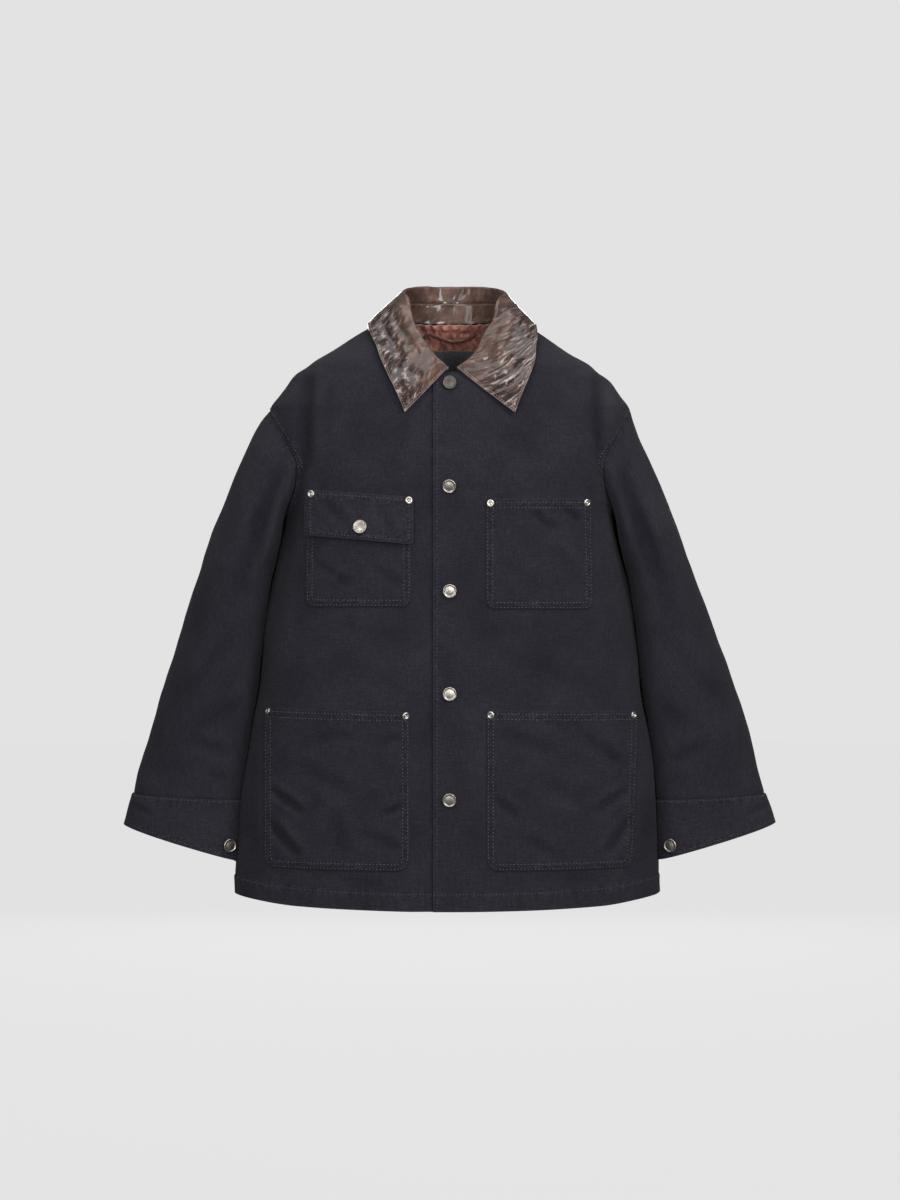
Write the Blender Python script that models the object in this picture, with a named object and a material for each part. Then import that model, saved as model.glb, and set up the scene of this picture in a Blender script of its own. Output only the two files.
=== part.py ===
"""Canvas work jacket with a leather collar, worn by nobody, one closed solid per sewn piece.

Metres, +Z up. The front faces -Y and the wearer's left is +X. The origin lies at the base of
the neck, level with the point where the shoulder line meets the collar.
"""

import bmesh
import bpy
import math
import numpy as np
from mathutils import Vector
from mathutils.bvhtree import BVHTree

# ---------------------------------------------------------------- named sizes
CLOTH = 0.0020            # wall of the canvas panels
CUFF_CLOTH = 0.0024       # two layers of canvas
POCKET_CLOTH = 0.0016
LEATHER = 0.0020
LINING_CLOTH = 0.0010
SEAM_GAP = 0.0003         # between two sewn edges
LAY_GAP = 0.0010          # under a piece that lies on a panel
FLAP_TUCK = 0.0004        # how much closer the flap lies on its pocket
SLEEVE_CLEAR = 0.0020     # between the sleeve and the body beside it

UNDERARM_Z = -0.262
SHOULDER_TIP_Z = -0.118
HEM_SIDE_Z = -0.7550
HEM_FRONT_DROP = 0.0075
HEM_BACK_DROP = 0.0020
NECK_FRONT_Z = -0.0785
BUTTON_LINE_X = -0.0006
PLACKET_EDGE_X = -0.0215  # free edge of the left front, which laps over the right
UNDERLAP_EDGE_X = 0.0050  # hidden edge of the right front
UNDERLAP_STEP = 0.0032    # how far the right front sits behind the left
UNDERLAP_BLEND = (0.0300, 0.0500)  # distances from the middle between which it steps back

PANEL_COLUMNS = 13
BACK_COLUMNS = 22
HEM_ROWS = 9
ARMHOLE_ROWS = 10
SLEEVE_AROUND = 2 * ARMHOLE_ROWS
SLEEVE_ROWS = 12
COLLAR_COLUMNS = 32

# height, half_width, front_depth, back_depth, squareness
TORSO = np.array([
    (-0.775, 0.2770, 0.1505, 0.1285, 2.25),
    (-0.632, 0.2720, 0.1490, 0.1270, 2.25),
    (-0.553, 0.2640, 0.1470, 0.1260, 2.25),
    (-0.487, 0.2530, 0.1450, 0.1240, 2.30),
    (-0.394, 0.2440, 0.1420, 0.1220, 2.35),
    (-0.305, 0.2285, 0.1390, 0.1210, 2.40),
    (-0.262, 0.2220, 0.1370, 0.1220, 2.45),
    (-0.240, 0.2225, 0.1365, 0.1230, 2.50),
    (-0.190, 0.2310, 0.1345, 0.1240, 2.50),
    (-0.150, 0.2390, 0.1305, 0.1240, 2.50),
    (-0.118, 0.2370, 0.1235, 0.1210, 2.45),
    (-0.100, 0.2260, 0.1185, 0.1185, 2.40),
    (-0.085, 0.2150, 0.1135, 0.1155, 2.35),
    (-0.068, 0.2020, 0.1040, 0.1110, 2.30),
    (-0.0535, 0.1825, 0.0925, 0.1060, 2.25),
    (-0.0375, 0.1560, 0.0765, 0.0990, 2.20),
    (-0.0215, 0.1290, 0.0560, 0.0900, 2.15),
    (-0.0085, 0.1050, 0.0340, 0.0800, 2.10),
    (0.0020, 0.0785, 0.0080, 0.0705, 2.05),
    (0.0060, 0.0740, 0.0010, 0.0680, 2.00),
])

# heights of the rows above the armhole, up to the neck
TOP_HEIGHTS = (-0.100, NECK_FRONT_Z, -0.068, -0.052, -0.036, -0.020, -0.008, -0.001)
BACK_NECK_Z = 0.004

# height, distance of the front neckline from the middle
NECKLINE = np.array([
    (NECK_FRONT_Z, 0.0000),
    (-0.0745, 0.0150),
    (-0.0660, 0.0300),
    (-0.0500, 0.0440),
    (-0.0300, 0.0600),
    (-0.0060, 0.0745),
    (-0.0010, 0.0770),
])

# height, distance of the armhole seam from the middle
ARMHOLE = np.array([
    (-0.262, 0.2220),
    (-0.245, 0.2100),
    (-0.220, 0.2000),
    (-0.195, 0.1980),
    (-0.181, 0.2025),
    (-0.157, 0.2155),
    (-0.138, 0.2270),
    (-0.118, 0.2370),
])

# outer_z, outer_x wearer's right, outer_x wearer's left, inner_z, inner_x, centre_y,
# half_depth, cup (how far the front and back of the ring lean towards the body)
SLEEVE = np.array([
    (-0.1180, 0.2370, 0.2370, -0.262, 0.2220, 0.000, 0.084, 0.029),
    (-0.1500, 0.2585, 0.2490, -0.285, 0.2250, 0.004, 0.088, 0.016),
    (-0.1950, 0.2800, 0.2680, -0.315, 0.2330, 0.009, 0.090, 0.006),
    (-0.2500, 0.3030, 0.2880, -0.350, 0.2395, 0.014, 0.090, 0.000),
    (-0.3100, 0.3255, 0.3130, -0.390, 0.2450, 0.018, 0.087, 0.000),
    (-0.3750, 0.3465, 0.3385, -0.432, 0.2500, 0.020, 0.083, 0.000),
    (-0.4400, 0.3665, 0.3625, -0.477, 0.2550, 0.020, 0.079, 0.000),
    (-0.5050, 0.3860, 0.3850, -0.525, 0.2620, 0.018, 0.073, 0.000),
    (-0.5650, 0.4040, 0.4020, -0.575, 0.2690, 0.014, 0.066, 0.000),
    (-0.6225, 0.4185, 0.4160, -0.629, 0.2750, 0.010, 0.060, 0.000),
])
CUFF = np.array([
    (-0.6228, 0.4195, 0.4170, -0.6293, 0.2745, 0.010, 0.061, 0.000),
    (-0.6420, 0.4260, 0.4240, -0.6700, 0.2785, 0.008, 0.058, 0.000),
    (-0.6610, 0.4317, 0.4295, -0.7090, 0.2810, 0.006, 0.056, 0.000),
])

# base_x, base_z of the stand at the neckline, then roll x, y, z and outer edge x, y, z
COLLAR = np.array([
    (-0.0019, -0.0780, -0.0019, -0.1150, -0.0700, -0.0572, -0.1320, -0.1292),
    (-0.0222, -0.0712, -0.0125, -0.1055, -0.0610, -0.0660, -0.1220, -0.1080),
    (-0.0389, -0.0566, -0.0244, -0.0950, -0.0456, -0.0760, -0.1130, -0.0870),
    (-0.0528, -0.0395, -0.0361, -0.0780, -0.0272, -0.0846, -0.1000, -0.0692),
    (-0.0680, -0.0176, -0.0481, -0.0520, -0.0012, -0.0990, -0.0680, -0.0410),
    (-0.0768, -0.0015, -0.0545, -0.0180, 0.0290, -0.1075, -0.0280, -0.0110),
    (-0.0691, 0.0060, -0.0610, 0.0180, 0.0430, -0.1080, 0.0100, 0.0000),
    (-0.0520, 0.0060, -0.0480, 0.0500, 0.0510, -0.0970, 0.0600, -0.0080),
    (-0.0260, 0.0060, -0.0230, 0.0720, 0.0540, -0.0560, 0.1030, -0.0230),
    (0.0020, 0.0060, 0.0040, 0.0800, 0.0547, 0.0030, 0.1170, -0.0290),
    (0.0300, 0.0060, 0.0310, 0.0720, 0.0540, 0.0600, 0.1030, -0.0230),
    (0.0540, 0.0060, 0.0580, 0.0500, 0.0505, 0.1000, 0.0600, -0.0080),
    (0.0700, 0.0060, 0.0740, 0.0180, 0.0405, 0.1120, 0.0100, -0.0020),
    (0.0768, -0.0015, 0.0617, -0.0180, 0.0275, 0.1165, -0.0280, -0.0140),
    (0.0683, -0.0171, 0.0565, -0.0520, -0.0020, 0.1125, -0.0680, -0.0450),
    (0.0559, -0.0356, 0.0430, -0.0760, -0.0240, 0.1045, -0.0970, -0.0730),
    (0.0419, -0.0527, 0.0350, -0.0950, -0.0450, 0.0960, -0.1130, -0.0950),
    (0.0300, -0.0655, 0.0240, -0.1035, -0.0580, 0.0890, -0.1220, -0.1120),
    (0.0099, -0.0770, 0.0089, -0.1150, -0.0700, 0.0826, -0.1300, -0.1292),
])
STAND_SHARE = 0.55        # of the way from the neckline up to the roll
STAND_SHORTER = 2         # collar columns that the stand stops short of each front end
ROLL_RADIUS = 0.0036
ROLL_ANGLES = (-75.0, 0.0, 75.0)

# inner_x, outer_x, top_z inner, top_z outer, bottom_z, outer_x bottom, corner radius, side
POCKETS = {
    "pocket_chest_right": (0.0494, 0.1853, -0.2500, -0.2400, -0.3770, 0.1852, 0.012, -1),
    "pocket_chest_left": (0.0452, 0.1822, -0.2398, -0.2384, -0.3801, 0.1841, 0.012, 1),
    "pocket_lower_right": (0.0509, 0.2407, -0.5098, -0.5068, -0.7115, 0.2391, 0.016, -1),
    "pocket_lower_left": (0.0460, 0.2443, -0.5072, -0.5109, -0.7115, 0.2351, 0.016, 1),
}
FLAP = (0.0470, 0.1836, -0.2373, -0.2263, -0.2982, -0.2857)  # x pair, top z pair, bottom z pair

FRONT_BUTTONS_Z = (-0.0910, -0.2233, -0.3566, -0.4870, -0.6208)
FLAP_BUTTON = (-0.1140, -0.2756)
CUFF_BUTTON = (0.2880, -0.6880)
# x, z, lies on a flap over a pocket
RIVETS = {
    "rivet_chest_right_outer": (-0.1782, -0.2321, True),
    "rivet_chest_right_inner": (-0.0520, -0.2417, True),
    "rivet_chest_left_inner": (0.0513, -0.2454, False),
    "rivet_chest_left_outer": (0.1759, -0.2434, False),
    "rivet_lower_right_outer": (-0.2356, -0.5115, False),
    "rivet_lower_right_inner": (-0.0560, -0.5149, False),
    "rivet_lower_left_inner": (0.0516, -0.5136, False),
    "rivet_lower_left_outer": (0.2376, -0.5169, False),
}
# radius, height along the axis
BUTTON_PROFILE = ((0.0, 0.0), (0.0062, 0.0), (0.0088, 0.0014), (0.0090, 0.0026), (0.0078, 0.0036),
                  (0.0066, 0.0028), (0.0, 0.0033))
RIVET_PROFILE = ((0.0, 0.0), (0.0046, 0.0), (0.0050, 0.0006), (0.0042, 0.0016), (0.0026, 0.0014),
                 (0.0018, 0.0007), (0.0, 0.0006))
LABEL_X = (-0.0200, 0.0325)
LABEL_Z = (-0.0720, -0.0280)
LINING_GAP = 0.0011       # behind the lining, which hangs off the back at its top edge
LINING_HALF = 0.064
LINING_Z = (-0.0950, -0.0040)
# x, z along the loop, and its half height and half thickness
LOOP = ((-0.0350, -0.0110), (-0.0300, -0.0050), (-0.0190, -0.0085), (0.0014, -0.0150),
        (0.0200, -0.0130), (0.0300, -0.0080), (0.0350, -0.0045))
LOOP_HALF = (0.0028, 0.0011)

# colour, roughness, metallic
FINISHES = {
    "cotton_canvas": ("#2f2e36", 0.88, 0.0),
    "collar_leather": ("#665a59", 0.32, 0.0),
    "satin_lining": ("#604038", 0.45, 0.0),
    "dark_tape": ("#3a393d", 0.80, 0.0),
    "aged_metal": ("#9a938b", 0.35, 0.9),
}


def linear(code):
    """Scene-linear RGBA of an sRGB hex colour."""
    out = []
    for k in (1, 3, 5):
        c = int(code[k:k + 2], 16) / 255.0
        out.append(c / 12.92 if c <= 0.04045 else ((c + 0.055) / 1.055) ** 2.4)
    return (*out, 1.0)


def make_material(name):
    """Principled material of one finish."""
    code, rough, metal = FINISHES[name]
    mat = bpy.data.materials.new(name)
    mat.use_nodes = True
    shader = mat.node_tree.nodes["Principled BSDF"]
    shader.inputs["Base Color"].default_value = linear(code)
    shader.inputs["Roughness"].default_value = rough
    shader.inputs["Metallic"].default_value = metal
    return mat


def smooth_curve(xs, ys, at):
    """Shape-keeping cubic through the points (xs, ys), read at the positions given."""
    xs = np.asarray(xs, float)
    ys = np.asarray(ys, float)
    h = np.diff(xs)
    d = np.diff(ys) / h
    m = np.zeros_like(ys)
    same = d[:-1] * d[1:] > 0
    w1 = 2 * h[1:] + h[:-1]
    w2 = h[1:] + 2 * h[:-1]
    with np.errstate(divide="ignore", invalid="ignore"):
        mean = (w1 + w2) / (w1 / d[:-1] + w2 / d[1:])
    m[1:-1] = np.where(same, mean, 0.0)
    m[0] = d[0]
    m[-1] = d[-1]
    at = np.clip(np.asarray(at, float), xs[0], xs[-1])
    k = np.clip(np.searchsorted(xs, at, side="right") - 1, 0, len(h) - 1)
    s = (at - xs[k]) / h[k]
    return (ys[k] * (1 + 2 * s) * (1 - s) ** 2 + h[k] * m[k] * s * (1 - s) ** 2
            + ys[k + 1] * s * s * (3 - 2 * s) + h[k] * m[k + 1] * s * s * (s - 1))


def section(z):
    """Half width, front depth, back depth and squareness of the body at height z."""
    return [smooth_curve(TORSO[:, 0], TORSO[:, k], z) for k in (1, 2, 3, 4)]


def ring_depth(x, z, back):
    """Y of the body's outer surface at (x, z), on the front or the back."""
    a, front, rear, n = section(z)
    q = np.minimum(np.abs(x) / a, 1.0)
    y = (1.0 - q ** n) ** (1.0 / n)
    return y * rear if back else -y * front


def row_heights(n_hem, n_arm, side_hem):
    """Heights of the rows at the side, from the hem up to the neck."""
    low = list(np.linspace(side_hem, UNDERARM_Z, n_hem + 1))
    mid = 0.5 * (UNDERARM_Z + SHOULDER_TIP_Z)
    half = SHOULDER_TIP_Z - mid
    arm = [mid - half * math.cos(math.pi * k / n_arm) for k in range(1, n_arm + 1)]
    return low, arm


def side_x(z, on_arm):
    """Where a row ends: the side seam, the armhole or the shoulder line."""
    if on_arm:
        return float(smooth_curve(ARMHOLE[:, 0], ARMHOLE[:, 1], z))
    return float(section(z)[0])


def panel_rows(n_col, n_hem, n_arm, back, start_x, top, stops=()):
    """Rows of outer surface points of half a body panel, on the +X side.

    The second and later columns run through the stops, distances from the middle.
    """
    low, arm = row_heights(n_hem, n_arm, HEM_SIDE_Z)
    drop = HEM_BACK_DROP if back else HEM_FRONT_DROP
    rows = []
    for z in low + arm + list(top):
        on_arm = UNDERARM_Z < z < SHOULDER_TIP_Z - 1e-6
        a = float(section(z)[0])
        x1 = side_x(z, on_arm)
        x0 = start_x
        if not back and z > NECK_FRONT_Z + 1e-6:
            x0 = float(smooth_curve(NECKLINE[:, 0], NECKLINE[:, 1], z))
        first = [math.asin(x0 / a)]
        if x0 == start_x:
            first += [math.asin(stop / a) for stop in stops]
        rest = np.linspace(first[-1], math.asin(min(x1 / a, 1.0)), n_col + 2 - len(first))
        t = np.concatenate([first[:-1], rest])
        x = a * np.sin(t)
        zz = np.full_like(x, z)
        if z <= UNDERARM_Z:
            share = (UNDERARM_Z - z) / (UNDERARM_Z - HEM_SIDE_Z)
            zz -= share * drop * (1.0 - (x / a) ** 2)
            a2 = section(zz)[0]
            x = x * a2 / a
        y = ring_depth(x, zz, back)
        rows.append(np.stack([x, y, zz], axis=1))
    return np.array(rows)


def front_rows(side, n_col=PANEL_COLUMNS, n_hem=HEM_ROWS, n_arm=ARMHOLE_ROWS):
    """Outer points of one front; side is -1 on the wearer's right and +1 on the left."""
    start = PLACKET_EDGE_X if side > 0 else -UNDERLAP_EDGE_X
    stops = UNDERLAP_BLEND if side < 0 and n_col == PANEL_COLUMNS else ()
    rows = panel_rows(n_col, n_hem, n_arm, False, start, TOP_HEIGHTS, stops)
    if side < 0:
        lo, hi = UNDERLAP_BLEND
        s = np.clip((hi - rows[..., 0]) / (hi - lo), 0.0, 1.0)
        rows[..., 1] += UNDERLAP_STEP * s
    rows[..., 0] *= side
    return rows


def back_rows(n_col=BACK_COLUMNS, n_hem=HEM_ROWS, n_arm=ARMHOLE_ROWS):
    """Outer points of the one-piece back, from the wearer's right to the left."""
    half = panel_rows(n_col // 2, n_hem, n_arm, True, 0.0, TOP_HEIGHTS + (BACK_NECK_Z,))
    mirrored = half[:, :0:-1].copy()
    mirrored[..., 0] *= -1.0
    return np.concatenate([mirrored, half], axis=1)


def pull_back(rows, edges, gap=SEAM_GAP / 2):
    """Moves the named edges of a grid towards their neighbours by half a seam gap."""
    out = rows.copy()
    pairs = {"first_col": (np.s_[:, 0], np.s_[:, 1]), "last_col": (np.s_[:, -1], np.s_[:, -2]),
             "first_row": (np.s_[0], np.s_[1]), "last_row": (np.s_[-1], np.s_[-2])}
    for name in edges:
        edge, near = pairs[name]
        step = out[near] - out[edge]
        length = np.linalg.norm(step, axis=-1, keepdims=True)
        out[edge] = out[edge] + step / length * gap
    return out


def sleeve_rings(table, side, n_rows, n_around, first_loop=None):
    """Rings of outer points down the arm, each starting at its outermost point."""
    v = np.linspace(0.0, len(table) - 1.0, n_rows + 1)
    at = np.arange(len(table))
    out_z, right_x, left_x, in_z, in_x, mid_y, depth, cup = (
        smooth_curve(at, table[:, k], v) for k in range(8))
    out_x = left_x if side > 0 else right_x
    angle = np.arange(n_around) * 2 * math.pi / n_around
    cos, sin = np.cos(angle), np.sin(angle)
    rings = np.zeros((n_rows + 1, n_around, 3))
    for k in range(n_rows + 1):
        rings[k, :, 0] = (0.5 * (out_x[k] + in_x[k]) + 0.5 * (out_x[k] - in_x[k]) * cos
                          - cup[k] * sin ** 2)
        rings[k, :, 1] = mid_y[k] - depth[k] * sin
        rings[k, :, 2] = 0.5 * (out_z[k] + in_z[k]) + 0.5 * (out_z[k] - in_z[k]) * cos
    if first_loop is not None:
        shift = first_loop - rings[0]
        for k in range(n_rows + 1):
            rings[k] += shift * max(0.0, 1.0 - v[k] / 3.0) ** 2
    a, front, rear, n = section(rings[..., 2])
    y = rings[..., 1]
    q = np.minimum(np.abs(y) / np.where(y < 0, front, rear), 1.0)
    below = np.clip(UNDERARM_Z - rings[..., 2], 0.0, None)
    clear = np.minimum(SLEEVE_CLEAR, SEAM_GAP + 0.08 * below)
    limit = a * (1.0 - q ** n) ** (1.0 / n) + clear
    low = rings[..., 2] < UNDERARM_Z - 1e-5
    rings[..., 0] = np.where(low, np.maximum(rings[..., 0], limit), rings[..., 0])
    rings[..., 0] *= side
    return rings


def armhole_loop(n_around):
    """The armhole seam on the +X side, from the shoulder tip round the front and back."""
    mid = 0.5 * (UNDERARM_Z + SHOULDER_TIP_Z)
    half = SHOULDER_TIP_Z - mid
    points = []
    for k in range(n_around):
        angle = 2 * math.pi * k / n_around
        z = mid + half * math.cos(angle)
        x = side_x(z, True)
        y = float(ring_depth(x, z, math.sin(angle) < 0))
        points.append((x, 0.0 if k in (0, n_around // 2) else y, z))
    return np.array(points)


def through(points, at):
    """Catmull-Rom curve through rows of values, read at fractional row numbers."""
    p = np.asarray(points, float)
    p = np.concatenate([[2 * p[0] - p[1]], p, [2 * p[-1] - p[-2]]])
    k = np.clip(np.floor(at).astype(int), 0, len(p) - 4)
    s = (np.asarray(at) - k)[:, None]
    p0, p1, p2, p3 = p[k], p[k + 1], p[k + 2], p[k + 3]
    return 0.5 * (2 * p1 + (p2 - p0) * s + (2 * p0 - 5 * p1 + 4 * p2 - p3) * s ** 2
                  + (3 * p1 - p0 - 3 * p2 + p3) * s ** 3)


def collar_curves(n_col):
    """Neckline, roll and outer edge of the collar, from the wearer's right to the left."""
    at = np.linspace(0.0, len(COLLAR) - 1.0, n_col + 1)
    values = through(COLLAR, at)
    x, z = values[:, 0], values[:, 1]
    back = (at > 5.5) & (at < 12.5)
    y_front = ring_depth(x, np.minimum(z, -0.001), False)
    y_back = ring_depth(x, np.full_like(x, BACK_NECK_Z), True)
    y = np.where(back, y_back, y_front)
    z = np.maximum(z + 0.0010, BACK_NECK_Z + 0.0018 + 0.8 * np.minimum(y + 0.005, 0.0))
    return np.stack([x, y, z], axis=1), values[:, 2:5], values[:, 5:8]


def unit(vectors):
    """Rows of vectors at length one."""
    return vectors / np.linalg.norm(vectors, axis=-1, keepdims=True)


def roll_arc(base, roll, edge):
    """Rows of points round the collar's roll, from the neck side over to the leaf side."""
    run = unit(np.gradient(roll, axis=0))
    to_leaf = edge - roll
    to_leaf = unit(to_leaf - run * np.sum(to_leaf * run, axis=1, keepdims=True))
    to_base = base - roll
    to_base = unit(to_base - run * np.sum(to_base * run, axis=1, keepdims=True))
    down = unit(to_leaf + to_base)
    side = unit(to_leaf - to_base)
    angles = np.radians(ROLL_ANGLES)
    return [roll + ROLL_RADIUS * (down * (1 - math.cos(t)) + side * math.sin(t)) for t in angles]


def stand_rows(n_col=COLLAR_COLUMNS):
    """Inner face of the collar stand, bottom edge first."""
    base, roll, edge = collar_curves(n_col)
    up = roll_arc(base, roll, edge)[0] - base
    top = base + STAND_SHARE * up - unit(up) * SEAM_GAP
    rows = np.array([base, 0.5 * (base + top), top])
    return rows[:, STAND_SHORTER:-STAND_SHORTER]


def fall_rows(n_col=COLLAR_COLUMNS):
    """Visible face of the collar fall: up inside the neck, over the roll, down to its edge."""
    base, roll, edge = collar_curves(n_col)
    arc = roll_arc(base, roll, edge)
    rows = [base + STAND_SHARE * (arc[0] - base)] + arc
    bend = arc[-1] + unit(arc[-1] - arc[-2]) * 0.006 + unit(edge - arc[-1]) * 0.004
    for s in (0.25, 0.5, 0.75, 1.0):
        rows.append((1 - s) ** 2 * arc[-1] + 2 * s * (1 - s) * bend + s * s * edge)
    return np.array(rows)


def add_skin(bm, rows, closed, flip, like=None):
    """Triangles over a grid of points, each quad cut along the shorter diagonal of `like`.

    A closed grid joins its last column to the first.
    """
    like = rows if like is None else like
    n_row, n_col = rows.shape[:2]
    verts = [[bm.verts.new(rows[r, c]) for c in range(n_col)] for r in range(n_row)]
    last = n_col if closed else n_col - 1
    for r in range(n_row - 1):
        for c in range(last):
            d = (c + 1) % n_col
            corners = [verts[r][c], verts[r][d], verts[r + 1][d], verts[r + 1][c]]
            if (np.linalg.norm(like[r, c] - like[r + 1, d])
                    > np.linalg.norm(like[r, d] - like[r + 1, c])):
                corners = corners[1:] + corners[:1]
            for k in (1, 2):
                tri = [corners[0], corners[k], corners[k + 1]]
                bm.faces.new(tri[::-1] if flip else tri)
    return verts


def rim(verts, closed):
    """Border vertices of a grid, as closed loops."""
    if closed:
        return [verts[0], verts[-1]]
    right = [row[-1] for row in verts[1:-1]]
    left = [row[0] for row in verts[-2:0:-1]]
    return [verts[0] + right + verts[-1][::-1] + left]


def grid_normals(rows, closed, flip):
    """Unit normals of a grid, on its visible side."""
    if closed:
        along = np.roll(rows, -1, axis=1) - np.roll(rows, 1, axis=1)
    else:
        along = np.gradient(rows, axis=1)
    normal = np.cross(along, np.gradient(rows, axis=0))
    normal /= np.linalg.norm(normal, axis=-1, keepdims=True)
    return -normal if flip else normal


def body_normals(rows, back):
    """Unit normals of the body's outer surface at the points of a panel."""
    def level(z):
        a, front, rear, n = section(z)
        b = rear if back else front
        return (np.abs(rows[..., 0]) / a) ** n + (np.abs(rows[..., 1]) / b) ** n

    a, front, rear, n = section(rows[..., 2])
    b = rear if back else front
    step = 0.002
    x, y = rows[..., 0], rows[..., 1]
    nx = np.sign(x) * n * (np.abs(x) / a) ** (n - 1) / a
    ny = np.sign(y) * n * (np.abs(y) / b) ** (n - 1) / b
    nz = (level(rows[..., 2] + step) - level(rows[..., 2] - step)) / (2 * step)
    normal = np.stack([nx, ny, nz], axis=-1)
    return normal / np.linalg.norm(normal, axis=-1, keepdims=True)


def grid_tree(rows):
    """Search tree over a grid of points."""
    n_row, n_col = rows.shape[:2]
    points = [Vector(p) for p in rows.reshape(-1, 3)]
    faces = []
    for r in range(n_row - 1):
        for c in range(n_col - 1):
            k = r * n_col + c
            faces.append((k, k + 1, k + n_col + 1, k + n_col))
    return BVHTree.FromPolygons(points, faces)


def cast(tree, x, z, from_y=-1.0):
    """Where a line along +Y from the front meets a surface, and the normal facing it."""
    hit, normal, _, _ = tree.ray_cast(Vector((x, from_y, z)), Vector((0.0, 1.0, 0.0)))
    if hit is None:
        raise ValueError(f"no surface at {x:.4f}, {z:.4f}")
    if normal.y > 0:
        normal = -normal
    return hit, normal


def lift_clear(rows, trees, least):
    """Moves points out of or off the panels until each is at least the given distance away."""
    flat = rows.reshape(-1, 3).copy()
    for k, p in enumerate(flat):
        for tree, facing in trees:
            near, normal, _, dist = tree.find_nearest(Vector(p))
            if near is None or dist > 0.03:
                continue
            if normal.y * facing < 0:
                normal = -normal
            height = (Vector(p) - near).dot(normal)
            if height < least:
                flat[k] = flat[k] + np.array(normal) * (least - height)
    return flat.reshape(rows.shape)


def finish_object(name, bm, material):
    """Mesh object from a bmesh, shaded smooth."""
    mesh = bpy.data.meshes.new(name)
    bm.to_mesh(mesh)
    bm.free()
    mesh.materials.append(material)
    mesh.shade_smooth()
    mesh.set_sharp_from_angle(angle=math.radians(50))
    obj = bpy.data.objects.new(name, mesh)
    bpy.context.scene.collection.objects.link(obj)
    return obj


def sheet(name, rows, material, wall, closed=False, flip=False, normals=None):
    """A cloth piece with a wall, from the grid of its visible points."""
    if normals is None:
        normals = grid_normals(rows, closed, flip)
    bm = bmesh.new()
    front = add_skin(bm, rows, closed, flip)
    behind = add_skin(bm, rows - normals * wall, closed, not flip, rows)
    for near, far in zip(rim(front, closed), rim(behind, closed)):
        for k in range(len(near)):
            m = (k + 1) % len(near)
            bm.faces.new((near[k], near[m], far[m], far[k]))
    bmesh.ops.recalc_face_normals(bm, faces=bm.faces)
    return finish_object(name, bm, material)


def turned(name, profile, material, steps, place, normal):
    """A round piece spun from its profile and set with its axis along the normal."""
    bm = bmesh.new()
    verts = [bm.verts.new((r, 0.0, h)) for r, h in profile]
    edges = [bm.edges.new((verts[k], verts[k + 1])) for k in range(len(verts) - 1)]
    bmesh.ops.spin(bm, geom=verts + edges, cent=(0, 0, 0), axis=(0, 0, 1), angle=2 * math.pi,
                   steps=steps, use_merge=True, use_duplicate=False)
    bmesh.ops.remove_doubles(bm, verts=bm.verts, dist=1e-6)
    bmesh.ops.recalc_face_normals(bm, faces=bm.faces)
    obj = finish_object(name, bm, material)
    obj.location = place
    obj.rotation_mode = "QUATERNION"
    obj.rotation_quaternion = Vector(normal).to_track_quat("Z", "Y")
    return obj


def pocket_rows(spec, tree, height, n_col, n_row):
    """Grid over a patch pocket or flap, laid on the panel at the given height."""
    in_x, out_x, top_in, top_out, bottom_in, bottom_out, low_out_x, radius, side = spec
    rows = []
    length = 0.5 * (top_in + top_out) - 0.5 * (bottom_in + bottom_out)
    half = float(section(0.5 * (top_in + bottom_in))[0])
    turn = np.linspace(math.asin(in_x / half), math.asin(out_x / half), n_col + 1)
    us = (half * np.sin(turn) - in_x) / (out_x - in_x)
    vs = np.concatenate([[0.0], np.linspace(radius / length, 1.0, n_row)])
    for j, v in enumerate(vs):
        row = []
        for i, u in enumerate(us):
            x0, x1 = in_x, low_out_x + (out_x - low_out_x) * v
            x = x0 + (x1 - x0) * u
            z_low = bottom_in + (bottom_out - bottom_in) * u
            z_top = top_in + (top_out - top_in) * u
            z = z_low + (z_top - z_low) * v
            if j == 0 and i in (0, n_col):
                x += 0.29 * radius * (1 if i == 0 else -1)
                z += 0.29 * radius
            hit, normal = cast(tree, side * x, z)
            row.append(np.array(hit + normal * height))
        rows.append(row)
    return np.array(rows)


def lining_point(x, z, inward):
    """Point inside the back panel, the given distance in from its outer face."""
    step = 0.002
    here = np.array((x, float(ring_depth(x, z, True)), z))
    along = np.array((x + step, float(ring_depth(x + step, z, True)), z)) - here
    up = np.array((x, float(ring_depth(x, z + step, True)), z + step)) - here
    normal = np.cross(along, up)
    normal /= np.linalg.norm(normal)
    return here + normal * inward * (-1 if normal[1] > 0 else 1)


def inner_patch(x_pair, z_pair, inward, n_col, n_row):
    """Grid of points inside the back of the neck, seen from the front."""
    return np.array([[lining_point(x, z, inward) for x in np.linspace(*x_pair, n_col + 1)]
                     for z in np.linspace(*z_pair, n_row + 1)])


def make_loop(material):
    """The hanger loop, a flat tape that hangs off the lining."""
    inward = CLOTH + LINING_GAP + LAY_GAP + LINING_CLOTH + LOOP_HALF[1]
    path = through(np.array([lining_point(x, z, inward) for x, z in LOOP]), np.linspace(0, 6, 19))
    bm = bmesh.new()
    rings = []
    for k, p in enumerate(path):
        along = path[min(k + 1, len(path) - 1)] - path[max(k - 1, 0)]
        along /= np.linalg.norm(along)
        deep = lining_point(p[0], p[2], 0.0) - lining_point(p[0], p[2], 0.002)
        deep = deep - along * along.dot(deep)
        deep /= np.linalg.norm(deep)
        wide = np.cross(along, deep)
        ring = []
        for i in range(6):
            angle = 2 * math.pi * (i + 0.5) / 6
            ring.append(p + wide * LOOP_HALF[0] * math.cos(angle)
                        + deep * LOOP_HALF[1] * math.sin(angle))
        rings.append(ring)
    verts = add_skin(bm, np.array(rings), True, False)
    bm.faces.new(verts[0])
    bm.faces.new(verts[-1])
    bmesh.ops.recalc_face_normals(bm, faces=bm.faces)
    return finish_object("hanger_loop", bm, material)


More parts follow.
